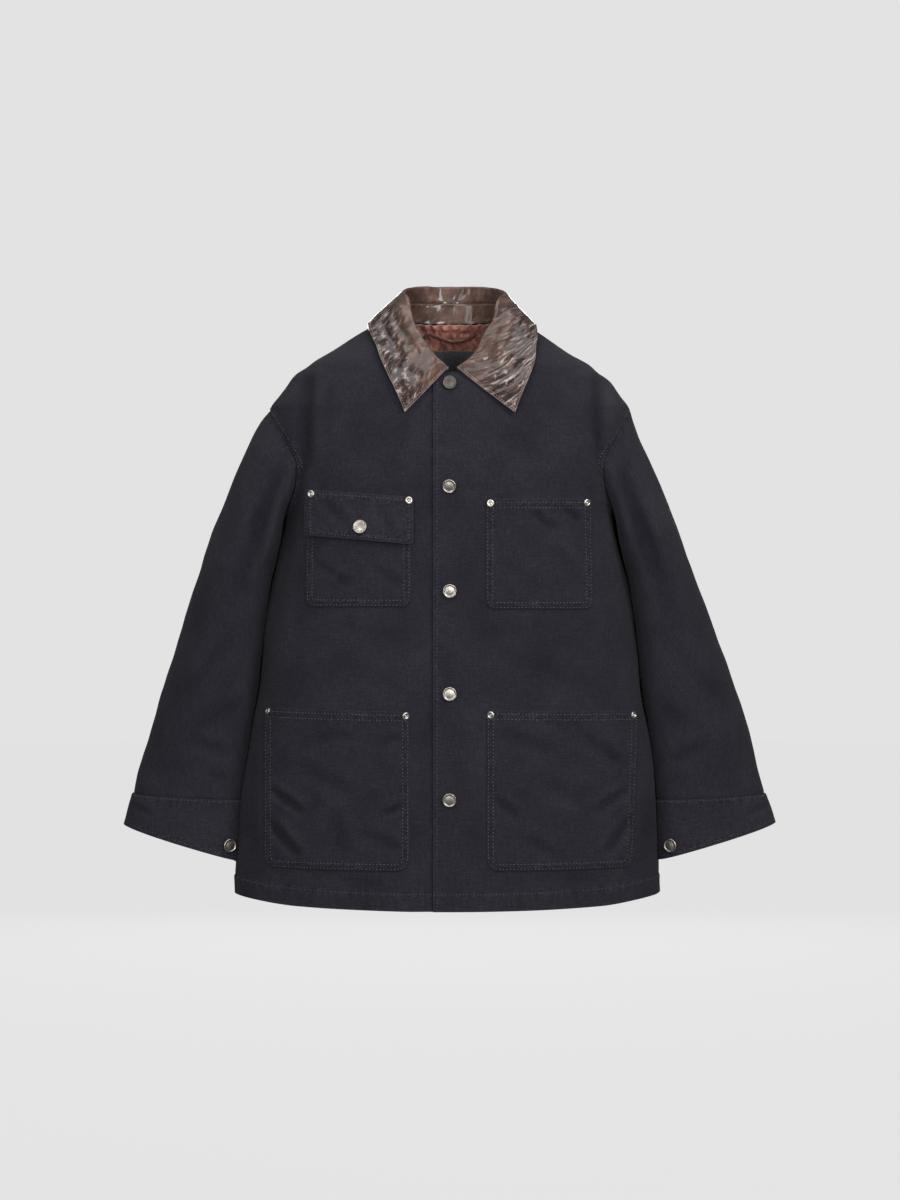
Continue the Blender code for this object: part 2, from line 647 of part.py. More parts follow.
def build():
    """Makes every piece of the jacket."""
    for obj in list(bpy.data.objects):
        bpy.data.objects.remove(obj)
    mats = {name: make_material(name) for name in FINISHES}
    canvas, metal = mats["cotton_canvas"], mats["aged_metal"]

    fine = {side: grid_tree(front_rows(side, 60, 60, 40)) for side in (-1, 1)}
    fine_back = grid_tree(back_rows(100, 50, 40))

    for side, word in ((-1, "right"), (1, "left")):
        rows = front_rows(side)
        sheet(f"front_{word}", pull_back(rows, ("last_col",)), canvas, CLOTH, flip=side < 0,
              normals=body_normals(rows, False))
    rows = back_rows()
    sheet("back", pull_back(rows, ("first_col", "last_col")), canvas, CLOTH, flip=True,
          normals=body_normals(rows, True))

    loop = armhole_loop(SLEEVE_AROUND)
    cuff_trees = {}
    for side, word in ((-1, "right"), (1, "left")):
        arm = sleeve_rings(SLEEVE, side, SLEEVE_ROWS, SLEEVE_AROUND, loop)
        arm = pull_back(arm, ("first_row",))
        sheet(f"sleeve_{word}", arm, canvas, CLOTH, closed=True, flip=side < 0)
        cuff = sleeve_rings(CUFF, side, 3, SLEEVE_AROUND)
        sheet(f"cuff_{word}", cuff, canvas, CUFF_CLOTH, closed=True, flip=side < 0)
        cuff_trees[side] = grid_tree(np.concatenate([cuff, cuff[:, :1]], axis=1))

    body = ((fine[-1], -1), (fine[1], -1), (fine_back, 1))
    fall = fall_rows()
    fall[4:] = lift_clear(fall[4:], body, LEATHER + 0.0012)
    sheet("collar_stand", stand_rows(), mats["collar_leather"], LEATHER)
    sheet("collar_fall", fall, mats["collar_leather"], LEATHER)

    height = LAY_GAP + POCKET_CLOTH
    for name, spec in POCKETS.items():
        in_x, out_x, top_in, top_out, bottom, low_x, radius, side = spec
        grid = pocket_rows((in_x, out_x, top_in, top_out, bottom, bottom, low_x, radius, side),
                           fine[side], height, 10, 8)
        sheet(name, grid, canvas, POCKET_CLOTH, flip=side < 0)
    in_x, out_x, top_in, top_out, bottom_in, bottom_out = FLAP
    over = 2 * height - FLAP_TUCK
    grid = pocket_rows((in_x, out_x, top_in, top_out, bottom_in, bottom_out, out_x, 0.004, -1),
                       fine[-1], over, 10, 4)
    sheet("flap_chest_right", grid, canvas, POCKET_CLOTH, flip=True)

    for k, z in enumerate(FRONT_BUTTONS_Z):
        hit, normal = cast(fine[1], BUTTON_LINE_X, z)
        turned(f"button_front_{k + 1}", BUTTON_PROFILE, metal, 12, hit + normal * 0.0005, normal)
    hit, normal = cast(fine[-1], *FLAP_BUTTON)
    turned("button_flap", BUTTON_PROFILE, metal, 12, hit + normal * (over + 0.0004), normal)
    for side, word in ((-1, "right"), (1, "left")):
        hit, normal = cast(cuff_trees[side], side * CUFF_BUTTON[0], CUFF_BUTTON[1])
        turned(f"button_cuff_{word}", BUTTON_PROFILE, metal, 12, hit + normal * 0.0003, normal)
    for name, (x, z, on_flap) in RIVETS.items():
        hit, normal = cast(fine[1 if x > 0 else -1], x, z)
        raised = (over if on_flap else height) + 0.0004
        turned(name, RIVET_PROFILE, metal, 9, hit + normal * raised, normal)

    inward = CLOTH + LINING_GAP + LINING_CLOTH
    patch = inner_patch((-LINING_HALF, LINING_HALF), LINING_Z, inward, 14, 6)
    sheet("back_lining", patch, mats["satin_lining"], LINING_CLOTH)
    patch = inner_patch(LABEL_X, LABEL_Z, inward + LAY_GAP + LINING_CLOTH, 4, 3)
    sheet("neck_label", patch, mats["dark_tape"], LINING_CLOTH)
    make_loop(mats["satin_lining"])


if __name__ == "__main__":
    build()
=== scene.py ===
"""Looks of a canvas work jacket with a leather collar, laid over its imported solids.

Metres, +Z up. The front faces -Y and the wearer's left is +X. Fold tables give places in the
front view's frame of 900 x 1200, which `seen` works out for any point of the jacket.
"""

import math

import bmesh
import bpy
import numpy as np
from mathutils import Matrix, Vector, noise
from mathutils.bvhtree import BVHTree


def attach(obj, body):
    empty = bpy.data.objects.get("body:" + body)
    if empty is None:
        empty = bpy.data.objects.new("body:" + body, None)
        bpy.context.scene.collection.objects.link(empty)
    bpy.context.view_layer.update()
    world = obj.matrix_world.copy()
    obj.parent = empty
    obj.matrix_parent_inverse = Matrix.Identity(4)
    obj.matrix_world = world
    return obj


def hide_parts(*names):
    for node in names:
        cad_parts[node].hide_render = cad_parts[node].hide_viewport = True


bl_info = {
    "name": "Canvas Work Jacket",
    "version": (1, 0, 0),
    "blender": (4, 5, 0),
    "location": "View3D > Sidebar > Jacket",
    "description": "Canvas panels, leather collar, stitching, buttons and rivets of a work jacket",
    "category": "Object",
}

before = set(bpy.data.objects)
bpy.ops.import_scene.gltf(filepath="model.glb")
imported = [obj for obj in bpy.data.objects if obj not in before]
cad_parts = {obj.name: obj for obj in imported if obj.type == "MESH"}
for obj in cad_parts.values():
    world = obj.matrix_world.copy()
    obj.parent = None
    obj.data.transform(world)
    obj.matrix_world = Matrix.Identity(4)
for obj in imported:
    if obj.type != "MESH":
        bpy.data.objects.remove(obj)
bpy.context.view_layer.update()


def linear(code):
    """Scene-linear RGB of an sRGB hex colour."""
    out = []
    for k in (1, 3, 5):
        c = int(code[k:k + 2], 16) / 255.0
        out.append(c / 12.92 if c <= 0.04045 else ((c + 0.055) / 1.055) ** 2.4)
    return tuple(out)


# ------------------------------------------------------------------ the jacket's own sizes
UNDERARM_Z = -0.262
SHOULDER_TIP_Z = -0.118
HEM_SIDE_Z = -0.7550
HEM_FRONT_DROP = 0.0075
HEM_BACK_DROP = 0.0020
NECK_FRONT_Z = -0.0785
BACK_NECK_Z = 0.004
TOP_Z = -0.001
BUTTON_LINE_X = -0.0006
PLACKET_EDGE_X = -0.0215
UNDERLAP_EDGE_X = 0.0050
UNDERLAP_STEP = 0.0032
UNDERLAP_BLEND = (0.0300, 0.0500)
HEM_TURN = 0.0240         # height of the turned hem
SLEEVE_CLEAR = 0.0006
SEAM_GAP = 0.0003
POCKET_HEIGHT = 0.0026    # a pocket's face above its panel
FLAP_HEIGHT = 0.0048

# height, half_width, front_depth, back_depth, squareness
TORSO = np.array([
    (-0.775, 0.2770, 0.1505, 0.1285, 2.25),
    (-0.632, 0.2720, 0.1490, 0.1270, 2.25),
    (-0.553, 0.2640, 0.1470, 0.1260, 2.25),
    (-0.487, 0.2530, 0.1450, 0.1240, 2.30),
    (-0.394, 0.2440, 0.1420, 0.1220, 2.35),
    (-0.305, 0.2285, 0.1390, 0.1210, 2.40),
    (-0.262, 0.2220, 0.1370, 0.1220, 2.45),
    (-0.240, 0.2225, 0.1365, 0.1230, 2.50),
    (-0.190, 0.2310, 0.1345, 0.1240, 2.50),
    (-0.150, 0.2390, 0.1305, 0.1240, 2.50),
    (-0.118, 0.2370, 0.1235, 0.1210, 2.45),
    (-0.100, 0.2260, 0.1185, 0.1185, 2.40),
    (-0.085, 0.2150, 0.1135, 0.1155, 2.35),
    (-0.068, 0.2020, 0.1040, 0.1110, 2.30),
    (-0.0535, 0.1825, 0.0925, 0.1060, 2.25),
    (-0.0375, 0.1560, 0.0765, 0.0990, 2.20),
    (-0.0215, 0.1290, 0.0560, 0.0900, 2.15),
    (-0.0085, 0.1050, 0.0340, 0.0800, 2.10),
    (0.0020, 0.0785, 0.0080, 0.0705, 2.05),
    (0.0060, 0.0740, 0.0010, 0.0680, 2.00),
])

# height, distance of the front neckline from the middle
NECKLINE = np.array([
    (NECK_FRONT_Z, 0.0000),
    (-0.0745, 0.0150),
    (-0.0660, 0.0300),
    (-0.0500, 0.0440),
    (-0.0300, 0.0600),
    (-0.0060, 0.0745),
    (-0.0010, 0.0770),
])

# height, distance of the armhole seam from the middle
ARMHOLE = np.array([
    (-0.262, 0.2220),
    (-0.245, 0.2100),
    (-0.220, 0.2000),
    (-0.195, 0.1980),
    (-0.181, 0.2025),
    (-0.157, 0.2155),
    (-0.138, 0.2270),
    (-0.118, 0.2370),
])

# outer_z, outer_x wearer's right, outer_x wearer's left, inner_z, inner_x, centre_y,
# half_depth, cup (how far the front and back of the ring lean towards the body)
SLEEVE = np.array([
    (-0.1180, 0.2370, 0.2370, -0.262, 0.2220, 0.000, 0.084, 0.029),
    (-0.1500, 0.2585, 0.2490, -0.285, 0.2210, 0.004, 0.088, 0.016),
    (-0.1950, 0.2800, 0.2690, -0.315, 0.2260, 0.009, 0.090, 0.006),
    (-0.2500, 0.3030, 0.2920, -0.350, 0.2340, 0.014, 0.090, 0.000),
    (-0.3100, 0.3255, 0.3150, -0.390, 0.2380, 0.018, 0.087, 0.000),
    (-0.3750, 0.3465, 0.3395, -0.432, 0.2430, 0.020, 0.083, 0.000),
    (-0.4400, 0.3665, 0.3625, -0.477, 0.2480, 0.020, 0.079, 0.000),
    (-0.5050, 0.3860, 0.3850, -0.525, 0.2550, 0.018, 0.073, 0.000),
    (-0.5650, 0.4040, 0.4020, -0.575, 0.2620, 0.014, 0.066, 0.000),
    (-0.6225, 0.4185, 0.4160, -0.629, 0.2670, 0.010, 0.060, 0.000),
])
CUFF = np.array([
    (-0.6228, 0.4195, 0.4170, -0.6293, 0.2670, 0.010, 0.061, 0.000),
    (-0.6420, 0.4260, 0.4240, -0.6700, 0.2690, 0.008, 0.058, 0.000),
    (-0.6610, 0.4317, 0.4295, -0.7090, 0.2710, 0.006, 0.056, 0.000),
])

# base_x, base_z of the stand at the neckline, then roll x, y, z and outer edge x, y, z
COLLAR = np.array([
    (-0.0019, -0.0780, -0.0019, -0.1150, -0.0700, -0.0572, -0.1320, -0.1292),
    (-0.0222, -0.0712, -0.0125, -0.1055, -0.0610, -0.0660, -0.1220, -0.1080),
    (-0.0389, -0.0566, -0.0244, -0.0950, -0.0456, -0.0760, -0.1130, -0.0870),
    (-0.0528, -0.0395, -0.0361, -0.0780, -0.0272, -0.0846, -0.1000, -0.0692),
    (-0.0680, -0.0176, -0.0481, -0.0520, -0.0012, -0.0990, -0.0680, -0.0410),
    (-0.0768, -0.0015, -0.0545, -0.0180, 0.0290, -0.1115, -0.0280, -0.0060),
    (-0.0691, 0.0060, -0.0610, 0.0180, 0.0430, -0.1120, 0.0100, 0.0040),
    (-0.0520, 0.0060, -0.0480, 0.0500, 0.0510, -0.0970, 0.0600, -0.0080),
    (-0.0260, 0.0060, -0.0230, 0.0720, 0.0540, -0.0560, 0.1030, -0.0230),
    (0.0020, 0.0060, 0.0040, 0.0800, 0.0547, 0.0030, 0.1170, -0.0290),
    (0.0300, 0.0060, 0.0310, 0.0720, 0.0540, 0.0600, 0.1030, -0.0230),
    (0.0540, 0.0060, 0.0580, 0.0500, 0.0505, 0.1000, 0.0600, -0.0080),
    (0.0700, 0.0060, 0.0740, 0.0180, 0.0405, 0.1155, 0.0100, 0.0030),
    (0.0768, -0.0015, 0.0617, -0.0180, 0.0275, 0.1190, -0.0280, -0.0095),
    (0.0683, -0.0171, 0.0565, -0.0520, -0.0020, 0.1125, -0.0680, -0.0450),
    (0.0559, -0.0356, 0.0430, -0.0760, -0.0240, 0.1045, -0.0970, -0.0730),
    (0.0419, -0.0527, 0.0350, -0.0950, -0.0450, 0.0960, -0.1130, -0.0950),
    (0.0300, -0.0655, 0.0240, -0.1035, -0.0580, 0.0890, -0.1220, -0.1120),
    (0.0099, -0.0770, 0.0089, -0.1150, -0.0700, 0.0826, -0.1300, -0.1292),
])
STAND_SHARE = 0.55
STAND_ENDS = 0.0625       # share of the collar that the stand stops short at each front end
ROLL_RADIUS = 0.0036
COLLAR_STEPS = 210

# inner_x, outer_x, top_z inner, top_z outer, bottom_z inner, outer, outer_x bottom, corner, side
POCKETS = {
    "pocket_chest_right": (0.0494, 0.1853, -0.2500, -0.2400, -0.3770, -0.3770, 0.1852, 0.012, -1),
    "pocket_chest_left": (0.0452, 0.1822, -0.2398, -0.2384, -0.3801, -0.3801, 0.1841, 0.012, 1),
    "pocket_lower_right": (0.0509, 0.2407, -0.5098, -0.5068, -0.7115, -0.7115, 0.2391, 0.016, -1),
    "pocket_lower_left": (0.0460, 0.2443, -0.5072, -0.5109, -0.7115, -0.7115, 0.2351, 0.016, 1),
}
FLAP = (0.0470, 0.1836, -0.2373, -0.2263, -0.2982, -0.2857, 0.1836, 0.004, -1)
FRONT_BUTTONS_Z = (-0.0910, -0.2233, -0.3566, -0.4870, -0.6208)
FLAP_BUTTON = (-0.1140, -0.2756)
CUFF_BUTTON = (0.2880, -0.6880)
# how far each front button leans up and to the wearer's left, in degrees
BUTTON_TILT = ((-8.0, 3.0), (-11.0, -6.0), (-6.0, 2.0), (-6.0, 4.0), (-8.0, -3.0))
# x, z, lies on a flap over a pocket
RIVETS = {
    "rivet_chest_right_outer": (-0.1782, -0.2321, True),
    "rivet_chest_right_inner": (-0.0520, -0.2417, True),
    "rivet_chest_left_inner": (0.0513, -0.2454, False),
    "rivet_chest_left_outer": (0.1759, -0.2434, False),
    "rivet_lower_right_outer": (-0.2356, -0.5115, False),
    "rivet_lower_right_inner": (-0.0560, -0.5149, False),
    "rivet_lower_left_inner": (0.0516, -0.5136, False),
    "rivet_lower_left_outer": (0.2376, -0.5169, False),
}
# radius, height along the axis: a cast shank button with a rolled rim round a shallow dish
BUTTON_PROFILE = (
    (0.0, 0.0), (0.0060, 0.0), (0.0083, 0.0008), (0.00905, 0.0018), (0.0091, 0.0026),
    (0.0088, 0.0033), (0.0082, 0.0037), (0.0076, 0.00365), (0.0071, 0.0033), (0.0066, 0.0031),
    (0.0050, 0.0034), (0.0028, 0.0037), (0.0, 0.0038),
)
# a tubular rivet: flange, rolled lip and open centre with the post inside
RIVET_PROFILE = (
    (0.0, 0.0), (0.0044, 0.0), (0.0050, 0.0003), (0.0051, 0.0008), (0.0046, 0.0014),
    (0.0036, 0.0018), (0.0027, 0.0017), (0.0022, 0.0012), (0.0019, 0.0004), (0.0013, 0.0003),
    (0.0010, 0.0009), (0.0005, 0.0012), (0.0, 0.0012),
)
LINING_HALF = 0.064
LINING_Z = (-0.0950, 0.0036)
LINING_INWARD = 0.0041
LABEL_X = (-0.0200, 0.0325)
LABEL_Z = (-0.0720, -0.0280)
# x, z along the hanger loop
LOOP = ((-0.0350, -0.0110), (-0.0300, -0.0050), (-0.0190, -0.0085), (0.0014, -0.0150),
        (0.0200, -0.0130), (0.0300, -0.0080), (0.0350, -0.0045))

# ------------------------------------------------------------------ folds, front view's frame
# x0, y0, x1, y1 of the fold's run, half width of its trough, depth in mm
BODY_FOLDS = (
    (308, 372, 305, 462, 7.0, 5.5),
    (324, 380, 318, 448, 8.0, 1.6),
    (596, 372, 603, 462, 6.5, 5.5),
    (582, 380, 588, 452, 8.0, 1.6),
    (300, 462, 291, 500, 5.0, 2.6),
    (604, 462, 612, 500, 5.0, 2.6),
    (303, 470, 283, 560, 7.0, 3.6),
    (609, 474, 632, 575, 7.0, 3.6),
    (275, 575, 262, 700, 8.0, 1.8),
    (640, 600, 651, 715, 8.0, 1.8),
    (410, 420, 384, 470, 9.0, 0.9),
    (505, 425, 540, 470, 9.0, 0.9),
    (330, 625, 420, 648, 9.0, 0.9),
    (470, 640, 560, 618, 9.0, 0.9),
    (345, 665, 400, 690, 8.0, 0.8),
    (500, 660, 600, 690, 9.0, 0.8),
    (441, 405, 443, 470, 7.0, 0.5),
    (300, 872, 372, 884, 6.0, 1.0),
    (520, 882, 610, 876, 6.0, 1.0),
    (452, 640, 447, 690, 8.0, 0.6),
    (455, 738, 449, 790, 8.0, 0.6),
    (250, 740, 254, 860, 7.0, 1.6),
    (652, 760, 648, 860, 7.0, 1.6),
)
BACK_FOLDS = (
    (301, 380, 306, 480, 6.5, 3.8),
    (316, 392, 319, 470, 7.0, 1.6),
    (601, 378, 597, 484, 6.5, 3.8),
    (586, 392, 583, 466, 7.0, 1.6),
    (330, 500, 392, 540, 9.0, 1.1),
    (560, 492, 505, 542, 9.0, 1.1),
    (352, 600, 450, 640, 12.0, 1.0),
    (548, 612, 462, 668, 12.0, 1.0),
    (300, 700, 352, 770, 9.0, 1.0),
    (604, 690, 560, 772, 9.0, 1.0),
    (420, 420, 452, 470, 10.0, 0.9),
    (388, 700, 396, 850, 12.0, 1.1),
    (498, 690, 492, 846, 12.0, 1.1),
    (262, 600, 270, 760, 8.0, 1.4),
    (640, 610, 634, 770, 8.0, 1.4),
)
SLEEVE_FOLDS = (
    (283, 462, 254, 560, 8.0, 4.6),
    (262, 470, 238, 600, 9.0, 2.4),
    (232, 640, 180, 700, 9.0, 1.2),
    (244, 700, 196, 735, 8.0, 1.4),
    (232, 755, 186, 742, 6.0, 1.3),
    (208, 770, 226, 783, 5.0, 1.0),
    (160, 700, 150, 770, 9.0, 0.9),
    (205, 585, 178, 668, 10.0, 0.9),
    (624, 468, 650, 566, 8.0, 4.0),
    (642, 500, 668, 610, 9.0, 2.2),
    (668, 640, 716, 700, 9.0, 1.2),
    (660, 705, 700, 735, 8.0, 1.3),
    (668, 760, 712, 745, 6.0, 1.2),
    (740, 690, 752, 768, 9.0, 0.9),
    (694, 590, 722, 668, 10.0, 0.9),
    (128, 803, 152, 816, 3.2, 1.5),
    (771, 803, 748, 815, 3.2, 1.3),
    (170, 806, 160, 826, 4.0, 0.7),
    (736, 806, 742, 824, 4.0, 0.7),
    (196, 812, 182, 842, 5.0, 0.6),
)
POCKET_FOLDS = (
    (323, 500, 345, 527, 5.4, 1.6),
    (376, 503, 392, 530, 5.4, 1.3),
    (316, 563, 348, 585, 4.8, 1.5),
    (372, 566, 402, 588, 5.4, 1.3),
    (330, 590, 352, 579, 4.8, 1.2),
    (535, 513, 555, 529, 4.1, 2.7),
    (563, 509, 582, 521, 3.8, 2.4),
    (500, 560, 540, 592, 7.2, 1.3),
    (556, 548, 584, 590, 7.2, 1.5),
    (272, 788, 300, 813, 4.3, 3.3),
    (271, 822, 297, 855, 5.0, 4.0),
    (404, 807, 383, 813, 3.6, 2.7),
    (318, 742, 352, 734, 6.0, 1.3),
    (380, 745, 402, 738, 4.8, 1.5),
    (300, 770, 352, 790, 8.4, 1.6),
    (330, 812, 345, 856, 7.2, 1.5),
    (360, 830, 398, 852, 6.0, 1.5),
    (500, 735, 560, 752, 7.2, 1.6),
    (585, 733, 625, 765, 6.0, 1.9),
    (628, 790, 598, 812, 4.8, 2.4),
    (630, 822, 606, 852, 4.8, 2.7),
    (494, 800, 520, 818, 4.8, 2.0),
    (520, 838, 566, 858, 6.0, 1.5),
    (540, 778, 590, 800, 8.4, 1.3),
)
LEATHER_FOLDS = (
    (419, 288, 426, 302, 2.6, 0.8),
    (463, 288, 455, 302, 2.6, 0.8),
    (441, 289, 444, 300, 3.1, 0.3),
    (480, 289, 484, 301, 2.9, 0.4),
    (403, 298, 412, 316, 2.9, 0.6),
    (505, 298, 498, 316, 2.9, 0.6),
    (380, 318, 398, 360, 4.4, 0.6),
    (392, 312, 412, 352, 4.2, 0.7),
    (402, 330, 428, 366, 3.9, 0.7),
    (386, 352, 402, 392, 3.9, 0.5),
    (412, 366, 404, 402, 3.4, 0.5),
    (424, 352, 440, 374, 3.4, 0.5),
    (518, 316, 506, 352, 4.2, 0.7),
    (528, 330, 516, 378, 4.4, 0.6),
    (504, 330, 486, 372, 3.6, 0.7),
    (494, 344, 500, 392, 3.6, 0.6),
    (510, 356, 508, 398, 3.4, 0.5),
    (478, 352, 474, 376, 3.1, 0.5),
)
STAND_FOLDS = (
    (453, 304, 452, 322, 1.5, 0.9),
    (424, 306, 428, 322, 1.8, 0.5),
    (474, 306, 470, 322, 1.8, 0.5),
    (488, 304, 486, 322, 1.6, 0.5),
)
LINING_FOLDS = (
    (420, 326, 427, 340, 1.8, 2.0),
    (430, 325, 436, 344, 1.7, 2.4),
    (441, 325, 438, 346, 2.1, 1.9),
    (449, 326, 452, 347, 1.8, 2.2),
    (460, 326, 457, 345, 1.7, 2.0),
    (469, 325, 474, 341, 1.8, 2.2),
    (480, 326, 484, 339, 1.8, 1.9),
    (428, 331, 474, 334, 1.8, 1.7),
)

# ------------------------------------------------------------------ sizes of the looks
CAMERA_BACK = 3.5              # distance of the level camera from the origin
CAMERA_HEIGHT = -0.368
VIEW_MIDDLE = (450.0, 600.0)   # middle of the front view's frame
VIEW_REACH = 2651.0            # its places per metre, a metre away from the camera

RIPPLE_FULL = 0.0012      # height of a pucker whose painted shade and highlight show in full
FOLD_FULL = 0.0035        # depth of a fold whose painted shade and highlight show in full
LEATHER_FULL = 0.0018     # the same on the collar
CANVAS_EDGE = 0.0005      # width of a panel's rounded edge
SLEEVE_AROUND = 120       # points round a sleeve
CUFF_EXTRA = 0.0006       # how much thicker the doubled cuff is
CUFF_SAG = 0.0024         # how far the wearer's right cuff hangs lower
CUFF_SQUARE = 3.4         # how square a cuff is pressed against the body
CLEAR = 0.0005            # least gap between a sleeve and the body
WRIST_TUCK = 0.965        # size of the sleeve's end inside its cuff, as a share of its rim
WRIST_DROPS = (0.0025, 0.0070)   # how far its two tucked rings go down
HEM_THICK = 0.0008        # how much the turned hem stands out
STAND_TUCK = 0.16         # share of the stand that is tucked in below the neckline
TURN_PASSES = 14          # smoothing passes over the collar's turn at each shoulder
TURN_FILL = -0.0048       # how far the edge is moved in there, and down by the same
LEAF_ROWS = 32            # rows up from the leaf's edge that are lifted off the shoulders
LEATHER_STITCH_IN = 0.0036    # from the leaf's edge to its stitching
LEAF_STITCH_ROWS = 30     # rows up from the leaf's edge that are stitched at its ends
POCKET_WALL, POCKET_EDGE = 0.0010, 0.0004
FLAP_WALL, FLAP_EDGE = 0.0018, 0.0008
# how far the back of each metal piece stands off the cloth
SEATS = {"front": 0.0006, "flap": 0.0010, "cuff": 0.0003, "rivet": -0.0001}

LINING_GRID = (110, 80)   # points across and up
LABEL_GRID = (40, 30)
LABEL_INWARD = LINING_INWARD + 0.0020
LOOP_INWARD = LINING_INWARD + 0.0026
LOOP_HALF = (0.0021, 0.0009)     # half width and half thickness
LOOP_STEPS = 70
LOOP_AROUND = 16
SIDE_STEPS = 60           # places along each side of a patch, for its stitching
MOUTH_STEPS = 70          # the same along its mouth
FLOOR_RADIUS = 14.0
FILM = 36.0               # height of the camera's picture, in mm

# length, width and height of one stitch
STITCH = (0.0021, 0.0012, 0.0008)
SMALL_STITCH = (0.0017, 0.0009, 0.0006)
LEATHER_STITCH = (0.0032, 0.0008, 0.0005)
HOLE_STITCH = (0.0019, 0.0008, 0.0006)
LEATHER_PITCH = 0.0040    # from one stitch to the next on the collar
HOLE_PITCH = 0.0008
HOLE_HALF = 0.0009        # half the distance between a buttonhole's two rows
HOLE_LENGTH = 0.0175      # of a cuff's buttonhole past its button
ARM_INSETS = (0.0022, 0.0085)     # the two rows beside the armhole seam
POCKET_INSETS = (0.0026, 0.0088)
FLAP_INSET = 0.0048
FLAP_LIFT = 0.0040        # how far the flap's lower edge stands off its pocket
FLAP_BUTTON_TILT = (3.5, 8.0)

# place, aim, width and height in metres, the setting that gives the power and the share of it
LIGHTS = {
    "box_left": ((-1.8, -2.2, 1.5), (0, 0, -0.2), 0.9, 1.3, "box_power", 0.4),
    "box_right": ((1.9, -2.1, 1.5), (0, 0, -0.2), 0.9, 1.3, "box_power", 1.0),
    "box_top": ((0.0, -1.0, 1.75), (0, -0.1, -0.1), 1.7, 0.8, "top_power", 1.0),
    "box_back": ((0.0, 0.4, 1.85), (0, 0, -0.1), 2.4, 0.8, "top_power", 0.8),
    "box_behind": ((0.0, 4.3, 0.2), (0, 0, -0.4), 2.6, 1.6, "front_power", 0.75),
    "front_left": ((-1.35, -4.4, 0.15), (0, 0, -0.45), 0.9, 1.6, "front_power", 0.44),
    "front_right": ((1.35, -4.4, 0.15), (0, 0, -0.45), 0.9, 1.6, "front_power", 0.56),
}

MARKS = ("seam", "worn", "fade")   # what the finishes read from each point of a piece
LAID = {}    # rows of laid surface points, their normals and whether they close, by piece
TREES = {}   # search trees over them


# ------------------------------------------------------------------ settings a user may change
def colour_setting(name, description, code):
    """A colour setting, its default an sRGB hex colour."""
    return bpy.props.FloatVectorProperty(name=name, description=description, subtype="COLOR",
                                         size=3, min=0, max=1, default=linear(code))


def length_setting(name, description, default, **limits):
    """A length setting, in metres."""
    return bpy.props.FloatProperty(name=name, description=description, subtype="DISTANCE",
                                   unit="LENGTH", default=default, **limits)


def power_setting(name, description, default):
    """The power of a light, in watts."""
    return bpy.props.FloatProperty(name=name, description=description, subtype="POWER",
                                   unit="POWER", min=0, default=default)


def share_setting(name, description, default, most):
    """A share from nothing up to the most."""
    return bpy.props.FloatProperty(name=name, description=description, subtype="FACTOR",
                                   min=0, max=most, default=default)


class JacketCloth(bpy.types.PropertyGroup):
    """Canvas, thread and folds."""

    canvas: colour_setting("Canvas", "Colour of the dyed canvas", "#24232a")
    thread: colour_setting("Thread", "Colour of the topstitching", "#515057")
    buttonhole: colour_setting("Buttonhole thread", "Colour of the buttonhole stitching", "#301d1d")
    wall: length_setting("Cloth", "Thickness of the canvas", 0.0018, min=0.0005, max=0.004)
    folds: share_setting("Folds", "Share of the full depth of every fold", 1.0, 2)
    stitch: length_setting("Stitch", "Distance from one stitch to the next", 0.0046,
                           min=0.002, max=0.008)


class JacketTrim(bpy.types.PropertyGroup):
    """Leather, lining and metal."""

    leather: colour_setting("Leather", "Main colour of the collar leather", "#513b32")
    # the dark of the painted streaks: painted shade
    leather_painted_shade: colour_setting("Dark leather", "Colour in the hollows of the leather", "#2c1d18")
    # the rubbed edge's colour, also the pale of the painted streaks: painted highlight
    leather_edge_and_highlight: colour_setting("Leather edge", "Colour of the rubbed, turned edge", "#857974")
    lining: colour_setting("Lining", "Colour of the satin at the neck", "#ac7365")
    tape: colour_setting("Neck tape", "Colour of the bare woven patch", "#5a5b62")
    metal: colour_setting("Metal", "Colour of the buttons and rivets", "#a49e96")
    leather_wall: length_setting("Leather wall", "Thickness of the collar", 0.0019,
                                 min=0.001, max=0.004)


class JacketStage(bpy.types.PropertyGroup):
    """Floor, light and camera."""

    backdrop: colour_setting("Backdrop", "Colour of the floor and the surroundings", "#e3e3e3")
    floor: length_setting("Floor", "Height of the floor", -1.30)
    box_power: power_setting("Side boxes", "Power of each softbox beside the camera", 44.0)
    top_power: power_setting("Top box", "Power of the softbox over the front of the jacket", 14.0)
    front_power: power_setting("Front light", "Power of the wide light behind the camera", 142.0)
    fill: share_setting(
        "Fill", "Share of the backdrop's tone that reaches the jacket as light", 0.22, 1)
    distance: length_setting("Camera", "Distance of the camera from the jacket", CAMERA_BACK, min=1)
    height: length_setting("Camera height", "Height of the level camera", CAMERA_HEIGHT)
    lens: bpy.props.FloatProperty(
        name="Lens", description="Focal length over a picture 36 mm high",
        subtype="DISTANCE_CAMERA", unit="CAMERA", min=10, default=79.53)


